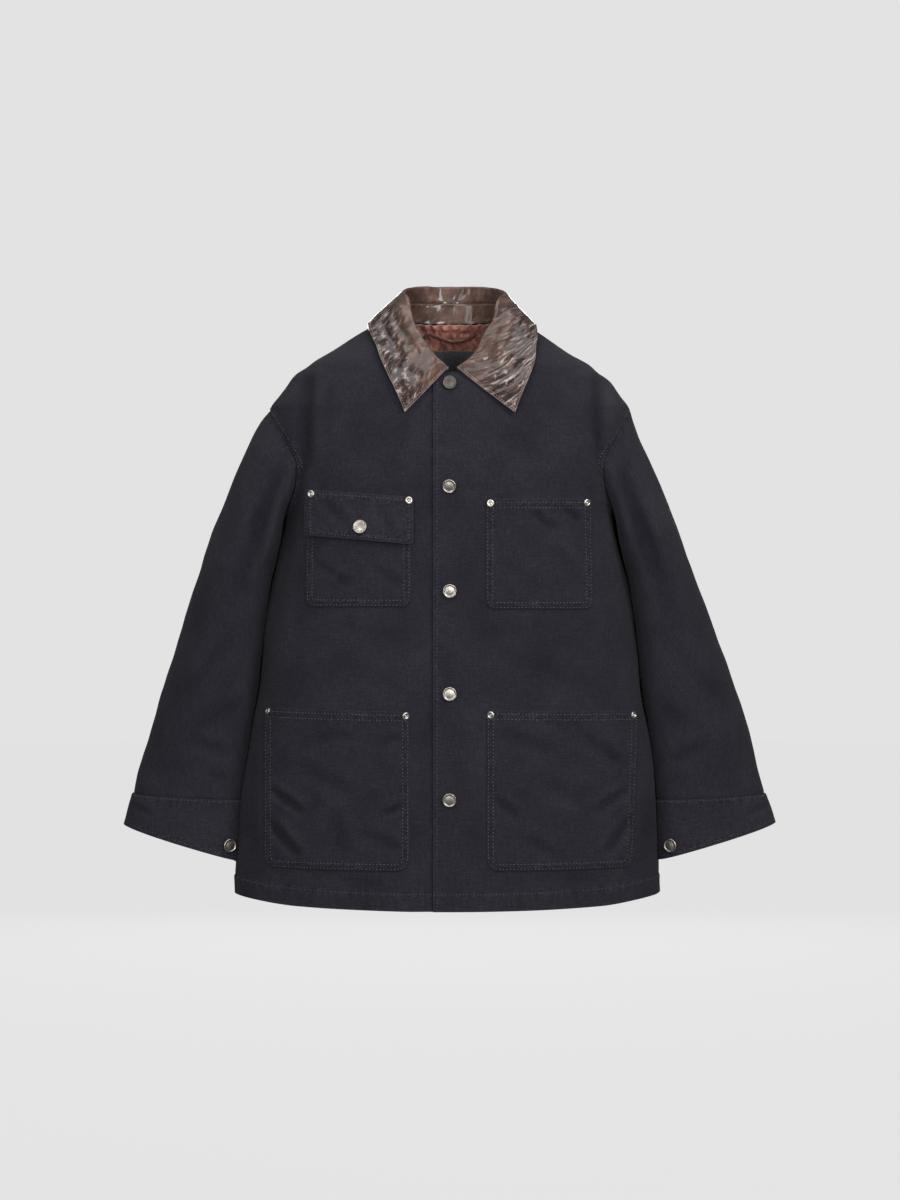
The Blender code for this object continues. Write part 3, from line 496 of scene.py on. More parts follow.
# ------------------------------------------------------------------ shapes of the garment
def smooth_curve(xs, ys, at):
    """Shape-keeping cubic through the points (xs, ys), read at the positions given."""
    xs = np.asarray(xs, float)
    ys = np.asarray(ys, float)
    h = np.diff(xs)
    d = np.diff(ys) / h
    m = np.zeros_like(ys)
    same = d[:-1] * d[1:] > 0
    w1 = 2 * h[1:] + h[:-1]
    w2 = h[1:] + 2 * h[:-1]
    with np.errstate(divide="ignore", invalid="ignore"):
        mean = (w1 + w2) / (w1 / d[:-1] + w2 / d[1:])
    m[1:-1] = np.where(same, mean, 0.0)
    m[0] = d[0]
    m[-1] = d[-1]
    at = np.clip(np.asarray(at, float), xs[0], xs[-1])
    k = np.clip(np.searchsorted(xs, at, side="right") - 1, 0, len(h) - 1)
    s = (at - xs[k]) / h[k]
    return (ys[k] * (1 + 2 * s) * (1 - s) ** 2 + h[k] * m[k] * s * (1 - s) ** 2
            + ys[k + 1] * s * s * (3 - 2 * s) + h[k] * m[k + 1] * s * s * (s - 1))


def through(points, at):
    """Catmull-Rom curve through rows of values, read at fractional row numbers."""
    p = np.asarray(points, float)
    p = np.concatenate([[2 * p[0] - p[1]], p, [2 * p[-1] - p[-2]]])
    k = np.clip(np.floor(at).astype(int), 0, len(p) - 4)
    s = (np.asarray(at) - k)[:, None]
    p0, p1, p2, p3 = p[k], p[k + 1], p[k + 2], p[k + 3]
    return 0.5 * (2 * p1 + (p2 - p0) * s + (2 * p0 - 5 * p1 + 4 * p2 - p3) * s ** 2
                  + (3 * p1 - p0 - 3 * p2 + p3) * s ** 3)


def section(z):
    """Half width, front depth, back depth and squareness of the body at height z."""
    return [smooth_curve(TORSO[:, 0], TORSO[:, k], z) for k in (1, 2, 3, 4)]


def ring_depth(x, z, back):
    """Y of the body's outer surface at (x, z), on the front or the back."""
    a, front, rear, n = section(z)
    q = np.minimum(np.abs(x) / a, 1.0)
    y = (1.0 - q ** n) ** (1.0 / n)
    return y * rear if back else -y * front


def unit(vectors):
    """Rows of vectors at length one."""
    return vectors / np.maximum(np.linalg.norm(vectors, axis=-1, keepdims=True), 1e-12)


def ease(value, lo, hi):
    """0 below lo, 1 above hi, smooth between."""
    s = np.clip((value - lo) / (hi - lo), 0.0, 1.0)
    return s * s * (3 - 2 * s)


def spread(lo, hi, step, close=(0.0007, 0.0018, 0.0035)):
    """Positions about a step apart, with closer ones at both ends where an edge turns."""
    inner = np.linspace(lo + close[-1], hi - close[-1], max(2, round((hi - lo) / step)))
    near = np.array(close[:-1])
    return np.concatenate([[lo], lo + near, inner, (hi - near)[::-1], [hi]])


def grid_normals(rows, closed=False, flip=False):
    """Unit normals of a grid, on its visible side."""
    if closed:
        along = np.roll(rows, -1, axis=1) - np.roll(rows, 1, axis=1)
    else:
        along = np.gradient(rows, axis=1)
    normal = unit(np.cross(along, np.gradient(rows, axis=0)))
    return -normal if flip else normal


def lengths(rows):
    """Distances along the grid's rows and up its columns, in metres."""
    across = np.linalg.norm(np.diff(rows, axis=1), axis=-1)
    up = np.linalg.norm(np.diff(rows, axis=0), axis=-1)
    u = np.concatenate([np.zeros((len(rows), 1)), np.cumsum(across, axis=1)], axis=1)
    v = np.concatenate([np.zeros((1, rows.shape[1])), np.cumsum(up, axis=0)], axis=0)
    return u, v


def body_normals(rows, back):
    """Unit normals of the body's outer surface at the points of a panel."""
    def level(z):
        a, front, rear, n = section(z)
        b = rear if back else front
        return (np.abs(rows[..., 0]) / a) ** n + (np.abs(rows[..., 1]) / b) ** n

    a, front, rear, n = section(rows[..., 2])
    b = rear if back else front
    x, y = rows[..., 0], rows[..., 1]
    nx = np.sign(x) * n * (np.abs(x) / a) ** (n - 1) / a
    ny = np.sign(y) * n * (np.abs(y) / b) ** (n - 1) / b
    nz = (level(rows[..., 2] + 0.002) - level(rows[..., 2] - 0.002)) / 0.004
    return unit(np.stack([nx, ny, nz], axis=-1))


def panel_rows(back, start_x):
    """Rows of outer surface points of half a body panel on the +X side, hem first."""
    top = BACK_NECK_Z if back else TOP_Z
    heights = np.concatenate([
        spread(HEM_SIDE_Z, UNDERARM_Z, 0.0040),
        spread(UNDERARM_Z, SHOULDER_TIP_Z, 0.0036)[1:],
        spread(SHOULDER_TIP_Z, NECK_FRONT_Z, 0.0028)[1:],
        spread(NECK_FRONT_Z, top, 0.0024)[1:],
    ])
    share = spread(0.0, 0.36, 0.0034) / 0.36
    rows = []
    for z in heights:
        a = float(section(z)[0])
        arm = UNDERARM_Z < z < SHOULDER_TIP_Z - 1e-6
        x1 = float(smooth_curve(ARMHOLE[:, 0], ARMHOLE[:, 1], z)) if arm else a
        x0 = start_x
        if not back and z > NECK_FRONT_Z:
            neck = float(smooth_curve(NECKLINE[:, 0], NECKLINE[:, 1], z))
            x0 = start_x + (neck - start_x) * float(ease(z, NECK_FRONT_Z, NECK_FRONT_Z + 0.004))
        first, last = math.asin(x0 / a), math.asin(min(x1 / a, 1.0))
        x = a * np.sin(first + (last - first) * share)
        zz = np.full_like(x, z)
        if z <= UNDERARM_Z:
            low = (UNDERARM_Z - z) / (UNDERARM_Z - HEM_SIDE_Z)
            zz -= low * (HEM_BACK_DROP if back else HEM_FRONT_DROP) * (1.0 - (x / a) ** 2)
            x = x * section(zz)[0] / a
        rows.append(np.stack([x, ring_depth(x, zz, back), zz], axis=1))
    return np.array(rows), heights


def armhole_loop(n_around):
    """The armhole seam on the +X side, from the shoulder tip round the front and back."""
    mid = 0.5 * (UNDERARM_Z + SHOULDER_TIP_Z)
    half = SHOULDER_TIP_Z - mid
    angle = 2 * np.pi * np.arange(n_around) / n_around
    z = mid + half * np.cos(angle)
    x = smooth_curve(ARMHOLE[:, 0], ARMHOLE[:, 1], z)
    y = np.where(np.sin(angle) < 0, ring_depth(x, z, True), ring_depth(x, z, False))
    y[[0, n_around // 2]] = 0.0
    return np.stack([x, y, z], axis=1)


def sleeve_rings(table, side, v, n_around, square, first_loop=None):
    """Rings of outer points down the arm, each starting at its outermost point.

    Their inner halves are pressed square against the body, by a power above 2.
    """
    at = np.arange(len(table))
    out_z, right_x, left_x, in_z, in_x, mid_y, depth, cup = (
        smooth_curve(at, table[:, k], v)[:, None] for k in range(8))
    out_x = left_x if side > 0 else right_x
    angle = np.arange(n_around)[None] * 2 * math.pi / n_around
    cos, sin = np.cos(angle), np.sin(angle)
    power = np.where(cos < 0, 2.0 / np.asarray(square).reshape(-1, 1), 1.0)
    cos = np.sign(cos) * np.abs(cos) ** power
    sin = np.sign(sin) * np.abs(sin) ** power
    x = 0.5 * (out_x + in_x) + 0.5 * (out_x - in_x) * cos - cup * sin ** 2
    z = 0.5 * (out_z + in_z) + 0.5 * (out_z - in_z) * cos
    rings = np.stack([x, mid_y - depth * sin, z], axis=-1)
    if first_loop is not None:
        fade = np.clip(1.0 - v / 3.0, 0.0, None) ** 2
        rings += (first_loop - rings[0])[None] * fade[:, None, None]
    a, front, rear, n = section(rings[..., 2])
    y = rings[..., 1]
    q = np.minimum(np.abs(y) / np.where(y < 0, front, rear), 1.0)
    below = np.clip(UNDERARM_Z - rings[..., 2], 0.0, None)
    limit = a * (1.0 - q ** n) ** (1.0 / n) + np.minimum(SLEEVE_CLEAR, SEAM_GAP + 0.08 * below)
    low = rings[..., 2] < UNDERARM_Z - 1e-5
    rings[..., 0] = np.where(low, np.maximum(rings[..., 0], limit), rings[..., 0])
    rings[..., 0] *= side
    return rings


def collar_curves(n_col):
    """Neckline, roll and outer edge of the collar, from the wearer's right to the left."""
    at = np.linspace(0.0, len(COLLAR) - 1.0, n_col + 1)
    values = through(COLLAR, at)
    x, z = values[:, 0], values[:, 1]
    back = (at > 5.5) & (at < 12.5)
    y_front = ring_depth(x, np.minimum(z, -0.001), False)
    y_back = ring_depth(x, np.full_like(x, BACK_NECK_Z), True)
    y = np.where(back, y_back, y_front)
    z = np.maximum(z + 0.0010, BACK_NECK_Z + 0.0018 + 0.8 * np.minimum(y + 0.005, 0.0))
    return np.stack([x, y, z], axis=1), values[:, 2:5], values[:, 5:8]


def roll_arc(base, roll, edge, angles):
    """Rows of points round the collar's roll, from the neck side over to the leaf side."""
    run = unit(np.gradient(roll, axis=0))
    to_leaf = edge - roll
    to_leaf = unit(to_leaf - run * np.sum(to_leaf * run, axis=1, keepdims=True))
    to_base = base - roll
    to_base = unit(to_base - run * np.sum(to_base * run, axis=1, keepdims=True))
    down = unit(to_leaf + to_base)
    side = unit(to_leaf - to_base)
    share = np.linspace(0.0, 1.0, len(roll))[:, None]
    radius = ROLL_RADIUS * (0.2 + 0.8 * ease(np.minimum(share, 1 - share), 0.0, 0.06))
    return [roll + radius * (down * (1 - math.cos(t)) + side * math.sin(t)) for t in angles]


def lining_point(x, z, inward):
    """Points inside the back panel, the given distance in from its outer face."""
    step = 0.002
    x, z = np.broadcast_arrays(np.asarray(x, float), np.asarray(z, float))
    here = np.stack([x, ring_depth(x, z, True), z], axis=-1)
    along = np.stack([x + step, ring_depth(x + step, z, True), z], axis=-1) - here
    up = np.stack([x, ring_depth(x, z + step, True), z + step], axis=-1) - here
    normal = unit(np.cross(along, up))
    return here - np.abs(inward) * normal * np.sign(normal[..., 1:2])


# ------------------------------------------------------------------ folds and marks
def seen(points):
    """Place of each point in the front view's frame of 900 x 1200."""
    reach = VIEW_REACH / (CAMERA_BACK + points[..., 1])
    return (VIEW_MIDDLE[0] + reach * points[..., 0],
            VIEW_MIDDLE[1] - reach * (points[..., 2] - CAMERA_HEIGHT))


def folds(points, table):
    """How far the folds of a table move the points outwards, in metres."""
    px, py = seen(points)
    out = np.zeros(points.shape[:-1])
    for x0, y0, x1, y1, width, depth in table:
        dx, dy = x1 - x0, y1 - y0
        size = math.hypot(dx, dy)
        t = ((px - x0) * dx + (py - y0) * dy) / size ** 2
        s = ((px - x0) * dy - (py - y0) * dx) / size / width
        s = s + 0.25 * np.sin(3.0 * t + x0)
        run = ease(t, -0.2, 0.25) * ease(-t, -1.2, -0.7)
        shape = -np.exp(-s ** 2) + 0.5 * np.exp(-(s - 1.8) ** 2) + 0.3 * np.exp(-(s + 1.8) ** 2)
        out += 0.001 * depth * run * shape
    return out * bpy.context.scene.jacket_cloth.folds


def settle(points):
    """The uneven hang of the worn body: shoulders, hem corner and side as they fall."""
    x, z = points[..., 0], points[..., 2]
    out = points.copy()
    out[..., 0] -= 0.0065 * ease(-x, 0.12, 0.27) * ease(-z, 0.52, 0.70)
    corner = np.where(x > 0, 0.0042, 0.0032) * ease(np.abs(x), 0.19, 0.272)
    out[..., 2] += corner * ease(-z, 0.715, 0.755)
    reach = ease(np.abs(x), 0.10, 0.165) * ease(-np.abs(x), -0.236, -0.205)
    out[..., 2] -= np.where(x > 0, 0.0055, 0.0032) * reach * ease(z, -0.145, -0.085)
    return out


def lift_clear(rows, panels, least):
    """Moves points off laid pieces until each is at least a distance away.

    Each panel is a search tree and the way that its visible side roughly faces.
    """
    flat = rows.reshape(-1, 3).copy()
    need = np.broadcast_to(least, rows.shape[:-1]).reshape(-1)
    for k in range(len(flat)):
        for tree, outward in panels:
            near, normal, _, dist = tree.find_nearest(Vector(flat[k]))
            if near is None or dist > 0.03:
                continue
            if normal.dot(outward) < 0:
                normal = -normal
            height = (Vector(flat[k]) - near).dot(normal)
            if dist > 0.002 and abs(height) < 0.5 * dist:    # beyond the panel's border
                continue
            if height < need[k]:
                flat[k] = flat[k] + np.array(normal) * (need[k] - height)
    return flat.reshape(rows.shape)


def swell(points, size, amount):
    """Soft unevenness of cloth: a smooth noise of the given size and height."""
    flat = points.reshape(-1, 3) / size
    values = np.array([noise.noise(Vector(p)) for p in flat])
    return values.reshape(points.shape[:-1]) * amount


def bell(distance, width):
    """1 at distance zero, fading over a width on both sides."""
    return np.exp(-(distance / width) ** 2)


def from_ends(distance):
    """Distance along each row to the nearer of its two ends."""
    return np.minimum(distance, distance[:, -1:] - distance)


def ditch(distance, depth, width):
    """Trough of a seam at distance zero."""
    return -depth * bell(distance, width)


def pucker(along, distance, centre, width, depth, pitch):
    """Short ripples across a row of stitches, uneven in pitch."""
    phase = 2 * np.pi * along / pitch
    wave = np.sin(phase + 1.7 * np.sin(phase * 0.31) + 1.1 * np.sin(phase * 0.13 + 1.0))
    return depth * wave * bell(distance - centre, width)


def tree_of(rows):
    """Search tree over a grid of points."""
    n_row, n_col = rows.shape[:2]
    faces = [(k, k + 1, k + n_col + 1, k + n_col)
             for r in range(n_row - 1) for k in range(r * n_col, r * n_col + n_col - 1)]
    return BVHTree.FromPolygons([Vector(p) for p in rows.reshape(-1, 3)], faces)


def cast(tree, x, z, from_y=-1.0):
    """Where a line along Y meets a surface, and the normal facing its start."""
    way = 1.0 if from_y < 0 else -1.0
    hit, normal, _, _ = tree.ray_cast(Vector((x, from_y, z)), Vector((0.0, way, 0.0)))
    if hit is None:
        raise RuntimeError(f"no surface at {x:.4f}, {z:.4f}")
    return hit, -normal if normal.y * way > 0 else normal


def path_at(name, which, value):
    """Points and normals where a laid grid's distance `which` has the value.

    "u" is measured along rows from their first point, "u_end" from their last, "v" up columns
    from the first row and "v_end" down from the last.
    """
    rows, normals, closed = LAID[name]
    loop = np.concatenate([rows, rows[:, :1]], axis=1) if closed else rows
    facing = np.concatenate([normals, normals[:, :1]], axis=1) if closed else normals
    u, v = lengths(loop)
    distance = {"u": u, "u_end": u[:, -1:] - u, "v": v, "v_end": v[-1:] - v}[which]
    if which.startswith("v"):
        distance, loop, facing = distance.T, loop.swapaxes(0, 1), facing.swapaxes(0, 1)
    points, ups = [], []
    for d, line, up in zip(distance, loop, facing):
        if d[0] > d[-1]:
            d, line, up = d[::-1], line[::-1], up[::-1]
        points.append([np.interp(value, d, line[:, k]) for k in range(3)])
        ups.append([np.interp(value, d, up[:, k]) for k in range(3)])
    return np.array(points), unit(np.array(ups))


# ------------------------------------------------------------------ making pieces
def finish_piece(name, bm, materials, slot, *nodes, wall=None, edge=None):
    """Object from a bmesh, riding on the jacket in place of its plain solids."""
    mesh = bpy.data.meshes.new(name)
    bm.to_mesh(mesh)
    bm.free()
    for material in materials:
        mesh.materials.append(material)
    mesh.shade_smooth()
    piece = bpy.data.objects.new(name, mesh)
    bpy.context.scene.collection.objects.link(piece)
    if wall:
        thick = piece.modifiers.new("Wall", "SOLIDIFY")
        thick.thickness = wall
        thick.offset = -1.0
        thick.use_quality_normals = True
    if edge:
        turn = piece.modifiers.new("Turned edge", "BEVEL")
        turn.width = edge
        turn.segments = 2
        turn.profile = 0.5
        turn.limit_method = "ANGLE"
        turn.angle_limit = math.radians(55)
    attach(piece, "root")
    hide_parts(*nodes)
    return piece


def cloth(name, rows, normals, materials, slot, *nodes, closed=False, flip=False, marks=None,
          wall=None, edge=None):
    """A sewn piece from the grid of its visible points, with its cut in metres as UV map.

    The marks are values per point that the finish reads: `seam` beside stitching and `worn` on
    rubbed edges, from 0 to 1, and `fade` from -1 in a fold's trough to 1 on its ridge, which
    the finish paints as shade in the trough and as a highlight on the ridge.
    """
    LAID[name] = (rows, normals, closed)
    marks = marks or {}
    if closed:
        rows = np.concatenate([rows, rows[:, :1]], axis=1)
        marks = {key: np.concatenate([m, m[:, :1]], axis=1) for key, m in marks.items()}
    TREES[name] = tree_of(rows)
    u, v = lengths(rows)
    n_row, n_col = rows.shape[:2]
    bm = bmesh.new()
    cut = bm.loops.layers.uv.new("cut")
    layers = {key: bm.verts.layers.float.new(key) for key in MARKS}
    bmesh.ops.create_grid(bm, x_segments=n_col - 1, y_segments=n_row - 1, size=0.5)
    bm.verts.index_update()
    place = [(round((p.co.y + 0.5) * (n_row - 1)), round((p.co.x + 0.5) * (n_col - 1)))
             for p in bm.verts]
    for vert, (r, c) in zip(bm.verts, place):
        vert.co = rows[r, c]
        for key, values in marks.items():
            vert[layers[key]] = values[r, c]
    for face in bm.faces:
        for loop in face.loops:
            r, c = place[loop.vert.index]
            loop[cut].uv = (u[r, c], v[r, c])
    if closed:
        bmesh.ops.remove_doubles(bm, verts=bm.verts, dist=1e-6)
    if flip:
        bmesh.ops.reverse_faces(bm, faces=bm.faces)
    piece = finish_piece(name, bm, materials, slot, *nodes, wall=wall, edge=edge)


def turned(name, profile, steps, place, normal, material, *nodes, tilt=(0.0, 0.0)):
    """A round metal piece spun from its profile, its axis along the normal.

    The tilt turns it up and to the wearer's left, in degrees, as a shank lets it hang.
    """
    bm = bmesh.new()
    verts = [bm.verts.new((r, 0.0, h)) for r, h in profile]
    edges = [bm.edges.new((verts[k], verts[k + 1])) for k in range(len(verts) - 1)]
    bmesh.ops.spin(bm, geom=verts + edges, cent=(0, 0, 0), axis=(0, 0, 1), angle=2 * math.pi,
                   steps=steps, use_merge=True, use_duplicate=False)
    bmesh.ops.remove_doubles(bm, verts=bm.verts, dist=1e-6)
    bmesh.ops.recalc_face_normals(bm, faces=bm.faces)
    turn = Vector(normal).to_track_quat("Z", "Y").to_matrix().to_4x4()
    lean = (Matrix.Rotation(math.radians(-tilt[0]), 4, "X")
            @ Matrix.Rotation(math.radians(tilt[1]), 4, "Z"))
    bmesh.ops.transform(bm, matrix=Matrix.Translation(place) @ lean @ turn, verts=bm.verts)
    finish_piece(name, bm, [material], "aged_metal", *nodes)


def resample(path, facing, pitch):
    """Points, directions and normals a pitch apart along a path."""
    step = np.linalg.norm(np.diff(path, axis=0), axis=1)
    s = np.concatenate([[0.0], np.cumsum(step)])
    at = np.arange(0.5 * pitch, s[-1], pitch)
    spot = np.stack([np.interp(at, s, path[:, k]) for k in range(3)], axis=1)
    ahead = np.stack([np.interp(at + 0.001, s, path[:, k]) for k in range(3)], axis=1)
    behind = np.stack([np.interp(at - 0.001, s, path[:, k]) for k in range(3)], axis=1)
    up = unit(np.stack([np.interp(at, s, facing[:, k]) for k in range(3)], axis=1))
    return spot, unit(ahead - behind), up


def sew(bm, path, facing, pitch, size=STITCH, across=False):
    """Adds a row of single stitches along a path, or across it as a buttonhole's."""
    for spot, run, up in zip(*resample(path, facing, pitch)):
        side = np.cross(up, run)
        if across:
            run, side = side, -run
        turn = Matrix((run * size[0], side * size[1], up * size[2])).transposed().to_4x4()
        place = Matrix.Translation(spot + up * 0.15 * size[2]) @ turn
        bmesh.ops.create_icosphere(bm, subdivisions=1, radius=0.5, matrix=place)


# ------------------------------------------------------------------ materials
def add(tree, kind, settings=(), **sockets):
    """Adds a node with its settings and sockets; a socket as value is linked."""
    node = tree.nodes.new(kind)
    for key, value in dict(settings).items():
        setattr(node, key, value)
    for key, value in sockets.items():
        name = key.replace("_", " ")
        numbered = key[0] == "i" and key[1:].isdigit()
        socket = node.inputs[int(key[1:]) if numbered else name]
        if isinstance(value, bpy.types.NodeSocket):
            tree.links.new(value, socket)
        else:
            socket.default_value = value
    return node


def blank(name):
    """A material with a Principled shader and nothing else."""
    material = bpy.data.materials.new(name)
    material.use_nodes = True
    return material, material.node_tree, material.node_tree.nodes["Principled BSDF"]


def rgba(colour, gain=1.0):
    """Colour with full cover, lightened or darkened."""
    return tuple(c * gain for c in colour) + (1.0,)


def stretched(tree, source, across, along):
    """Coordinates in which one unit is `across` by `along` millimetres of the source's."""
    scale = (1000.0 / across, 1000.0 / along, 1000.0 / across)
    return add(tree, "ShaderNodeMapping", Vector=source, Scale=scale).outputs["Vector"]


def grain(tree, source, across, along, **settings):
    """Noise with features about `across` by `along` millimetres large."""
    return add(tree, "ShaderNodeTexNoise", Vector=stretched(tree, source, across, along),
               Scale=1.0, **settings).outputs["Fac"]


def cut_map(tree):
    """Places on the cut of a piece, in metres."""
    return add(tree, "ShaderNodeUVMap", {"uv_map": "cut"}).outputs["UV"]


def mark_values(tree):
    """The marks of a piece, in the order of MARKS."""
    return [add(tree, "ShaderNodeAttribute", {"attribute_name": key}).outputs["Fac"]
            for key in MARKS]


def ramp(tree, value, *stops):
    """Colour ramp from (position, colour) stops."""
    node = add(tree, "ShaderNodeValToRGB", Fac=value)
    spots = node.color_ramp.elements
    while len(spots) < len(stops):
        spots.new(0.5)
    for spot, (position, colour) in zip(spots, stops):
        spot.position = position
        spot.color = colour
    return node.outputs["Color"]


def mix(tree, factor, a, b, blend="MIX"):
    """Mixes two colours."""
    node = add(tree, "ShaderNodeMix", {"data_type": "RGBA", "blend_type": blend}, i0=factor,
               i6=a, i7=b)
    return node.outputs[2]


def maths(tree, operation, a, b=0.0, clamp=False):
    """One sum on two values."""
    node = add(tree, "ShaderNodeMath", {"operation": operation, "use_clamp": clamp}, i0=a, i1=b)
    return node.outputs[0]


def bump(tree, height, distance, strength, normal=None):
    """Bump of a height pattern, over an earlier one."""
    node = add(tree, "ShaderNodeBump", Height=height)
    node.inputs["Distance"].default_value = distance
    node.inputs["Strength"].default_value = strength
    if normal is not None:
        tree.links.new(normal, node.inputs["Normal"])
    return node.outputs["Normal"]


def folded(tree, base, fade, dark, pale):
    """Paints shade into a colour in the troughs of folds and a highlight on their ridges."""
    fold = ramp(tree, maths(tree, "ADD", maths(tree, "MULTIPLY", fade, 0.5), 0.5),
                (0.0, dark), (0.5, (1, 1, 1, 1)), (1.0, pale))
    return mix(tree, 1.0, base, fold, "MULTIPLY")


def wire(tree, shader, base, normal, **constants):
    """Links a colour and a normal to the shader and sets its other sockets."""
    tree.links.new(base, shader.inputs["Base Color"])
    tree.links.new(normal, shader.inputs["Normal"])
    for name, value in constants.items():
        shader.inputs[name.replace("_", " ")].default_value = value


def canvas_material(name, colour):
    """Cotton canvas, piece-dyed and washed: plain weave of slubby yarn, matt, a little fuzz."""
    material, tree, shader = blank(name)
    cut = cut_map(tree)
    seam, worn, fade = mark_values(tree)
    # slubs: thick places in the yarn, 1 to 2 mm across and some centimetres long
    warp = grain(tree, cut, 1.7, 16.0, Detail=2.0, Roughness=0.6)
    weft = grain(tree, cut, 18.0, 1.6, Detail=2.0, Roughness=0.6)
    slub = maths(tree, "ADD", warp, weft)
    # dye taken up unevenly, in clouds of 30 to 60 mm
    cloud = grain(tree, cut, 46.0, 58.0, Detail=4.0, Roughness=0.6)
    speck = grain(tree, cut, 3.4, 2.6, Detail=4.0, Roughness=0.7)
    base = ramp(tree, maths(tree, "MULTIPLY", slub, 0.5),
                (0.32, rgba(colour, 0.74)), (0.5, rgba(colour)), (0.68, rgba(colour, 1.33)))
    base = mix(tree, 1.0, base, ramp(tree, speck, (0.3, (0.68, 0.68, 0.69, 1)),
                                     (0.7, (1.34, 1.33, 1.32, 1))), "MULTIPLY")
    base = mix(tree, 1.0, base, ramp(tree, cloud, (0.25, (0.82, 0.83, 0.86, 1)),
                                     (0.75, (1.2, 1.19, 1.16, 1))), "MULTIPLY")
    # painted shade in the troughs of folds and puckers, painted highlight on their ridges
    base = folded(tree, base, fade, (0.66, 0.66, 0.68, 1), (1.26, 1.25, 1.23, 1))
    # stitched edges shrink in the wash: crests rub pale, and hollows get painted shade
    ridge = grain(tree, cut, 4.6, 4.6, Detail=2.0, Roughness=0.6)
    rubbed = ramp(tree, ridge, (0.38, (0.6, 0.6, 0.62, 1)), (0.64, (1.5, 1.48, 1.45, 1)))
    rubbed = mix(tree, 1.0, base, rubbed, "MULTIPLY")
    base = mix(tree, maths(tree, "MULTIPLY", seam, 0.75), base, rubbed)
    base = mix(tree, maths(tree, "MULTIPLY", worn, 0.8), base, rgba(colour, 2.4))
    # threads 2.4 mm apart, drawn far coarser than real yarn so that they show close up
    yarns = [add(tree, "ShaderNodeTexWave", {"bands_direction": way},
                 Vector=stretched(tree, cut, 7.5, 7.5), Scale=1.0, Distortion=0.6,
                 Detail=1.0).outputs["Fac"] for way in "XY"]
    weave = maths(tree, "MULTIPLY", *yarns)
    normal = bump(tree, cloud, 0.0035, 0.35)
    normal = bump(tree, speck, 0.0009, 0.45, normal)
    normal = bump(tree, maths(tree, "MULTIPLY", ridge, seam), 0.0022, 0.6, normal)
    normal = bump(tree, slub, 0.0006, 0.6, normal)
    normal = bump(tree, weave, 0.00035, 0.5, normal)
    wire(tree, shader, base, normal, Roughness=0.92, Specular_IOR_Level=0.10,
         Sheen_Weight=0.03, Sheen_Roughness=0.5)
    return material


def thread_material(name, colour):
    """Cotton sewing thread, three strands twisted, which catch light in turn."""
    material, tree, shader = blank(name)
    spot = add(tree, "ShaderNodeTexCoord").outputs["Object"]
    strand = grain(tree, spot, 2.4, 2.4, Detail=2.0)
    base = ramp(tree, strand, (0.35, rgba(colour, 0.6)), (0.65, rgba(colour, 1.35)))
    wire(tree, shader, base, bump(tree, strand, 0.0003, 0.5), Roughness=0.75,
         Specular_IOR_Level=0.25)
    return material


def leather_material(trim):
    """Drum-dyed cowhide, waxed and crumpled, tan-rubbed edges, painted highlights and shade."""
    material, tree, shader = blank("waxed_cowhide")
    cut = cut_map(tree)
    seam, worn, fade = mark_values(tree)
    # crumples 10 to 25 mm long that run from the roll down to the edge, broken into finer ones
    crumple = grain(tree, cut, 11.0, 19.0, Detail=6.0, Roughness=0.68, Distortion=0.35)
    # hide grain: pebbles near 1.3 mm
    pebble = add(tree, "ShaderNodeTexVoronoi", {"feature": "DISTANCE_TO_EDGE"},
                 Vector=stretched(tree, cut, 1.3, 1.3), Scale=1.0).outputs["Distance"]
    tone = grain(tree, cut, 22.0, 26.0, Detail=5.0, Roughness=0.65)
    smooth = ramp(tree, tone, (0.34, rgba(trim.leather, 0.55)), (0.50, rgba(trim.leather)),
                  (0.66, rgba(trim.leather, 1.7)))
    # painted highlights and painted shade: streaks 4 to 14 mm long, pale and dark in turn
    streak = grain(tree, cut, 7.5, 11.0, Detail=5.0, Roughness=0.60, Distortion=0.25)
    streak = maths(tree, "ADD", maths(tree, "MULTIPLY", streak, 0.72),
                   maths(tree, "MULTIPLY", tone, 0.28))
    painted_streaks = ramp(tree, streak, (0.42, rgba(trim.leather_painted_shade, 0.25)),
                   (0.47, rgba(trim.leather_painted_shade)), (0.52, rgba(trim.leather, 0.80)),
                   (0.565, rgba(trim.leather_edge_and_highlight, 0.55)), (0.625, rgba(trim.leather_edge_and_highlight, 1.7)))
    # the painted streaks show fully from 58 mm below the stand seam, faintly above 30 mm
    depth = add(tree, "ShaderNodeSeparateXYZ", Vector=cut).outputs["Y"]
    painted_streak_share = ramp(tree, depth, (0.030, (0.12, 0.12, 0.12, 1)), (0.058, (1, 1, 1, 1)))
    base = mix(tree, painted_streak_share, smooth, painted_streaks)
    # painted shade in the troughs of the folds and painted highlight on their ridges
    base = folded(tree, base, fade, (0.45, 0.44, 0.44, 1), (1.6, 1.55, 1.5, 1))
    base = mix(tree, maths(tree, "MULTIPLY", worn, 0.85), base, rgba(trim.leather_edge_and_highlight))
    normal = bump(tree, crumple, 0.0036, 0.65)
    normal = bump(tree, maths(tree, "MULTIPLY", crumple, seam), 0.0030, 0.6, normal)
    normal = bump(tree, pebble, 0.00012, 0.3, normal)
    tree.links.new(ramp(tree, tone, (0.35, (0.42, 0.42, 0.42, 1)), (0.65, (0.30, 0.30, 0.30, 1))),
                   shader.inputs["Roughness"])
    wire(tree, shader, base, normal, Specular_IOR_Level=0.18, Coat_Weight=0.60,
         Coat_Roughness=0.12)
    return material


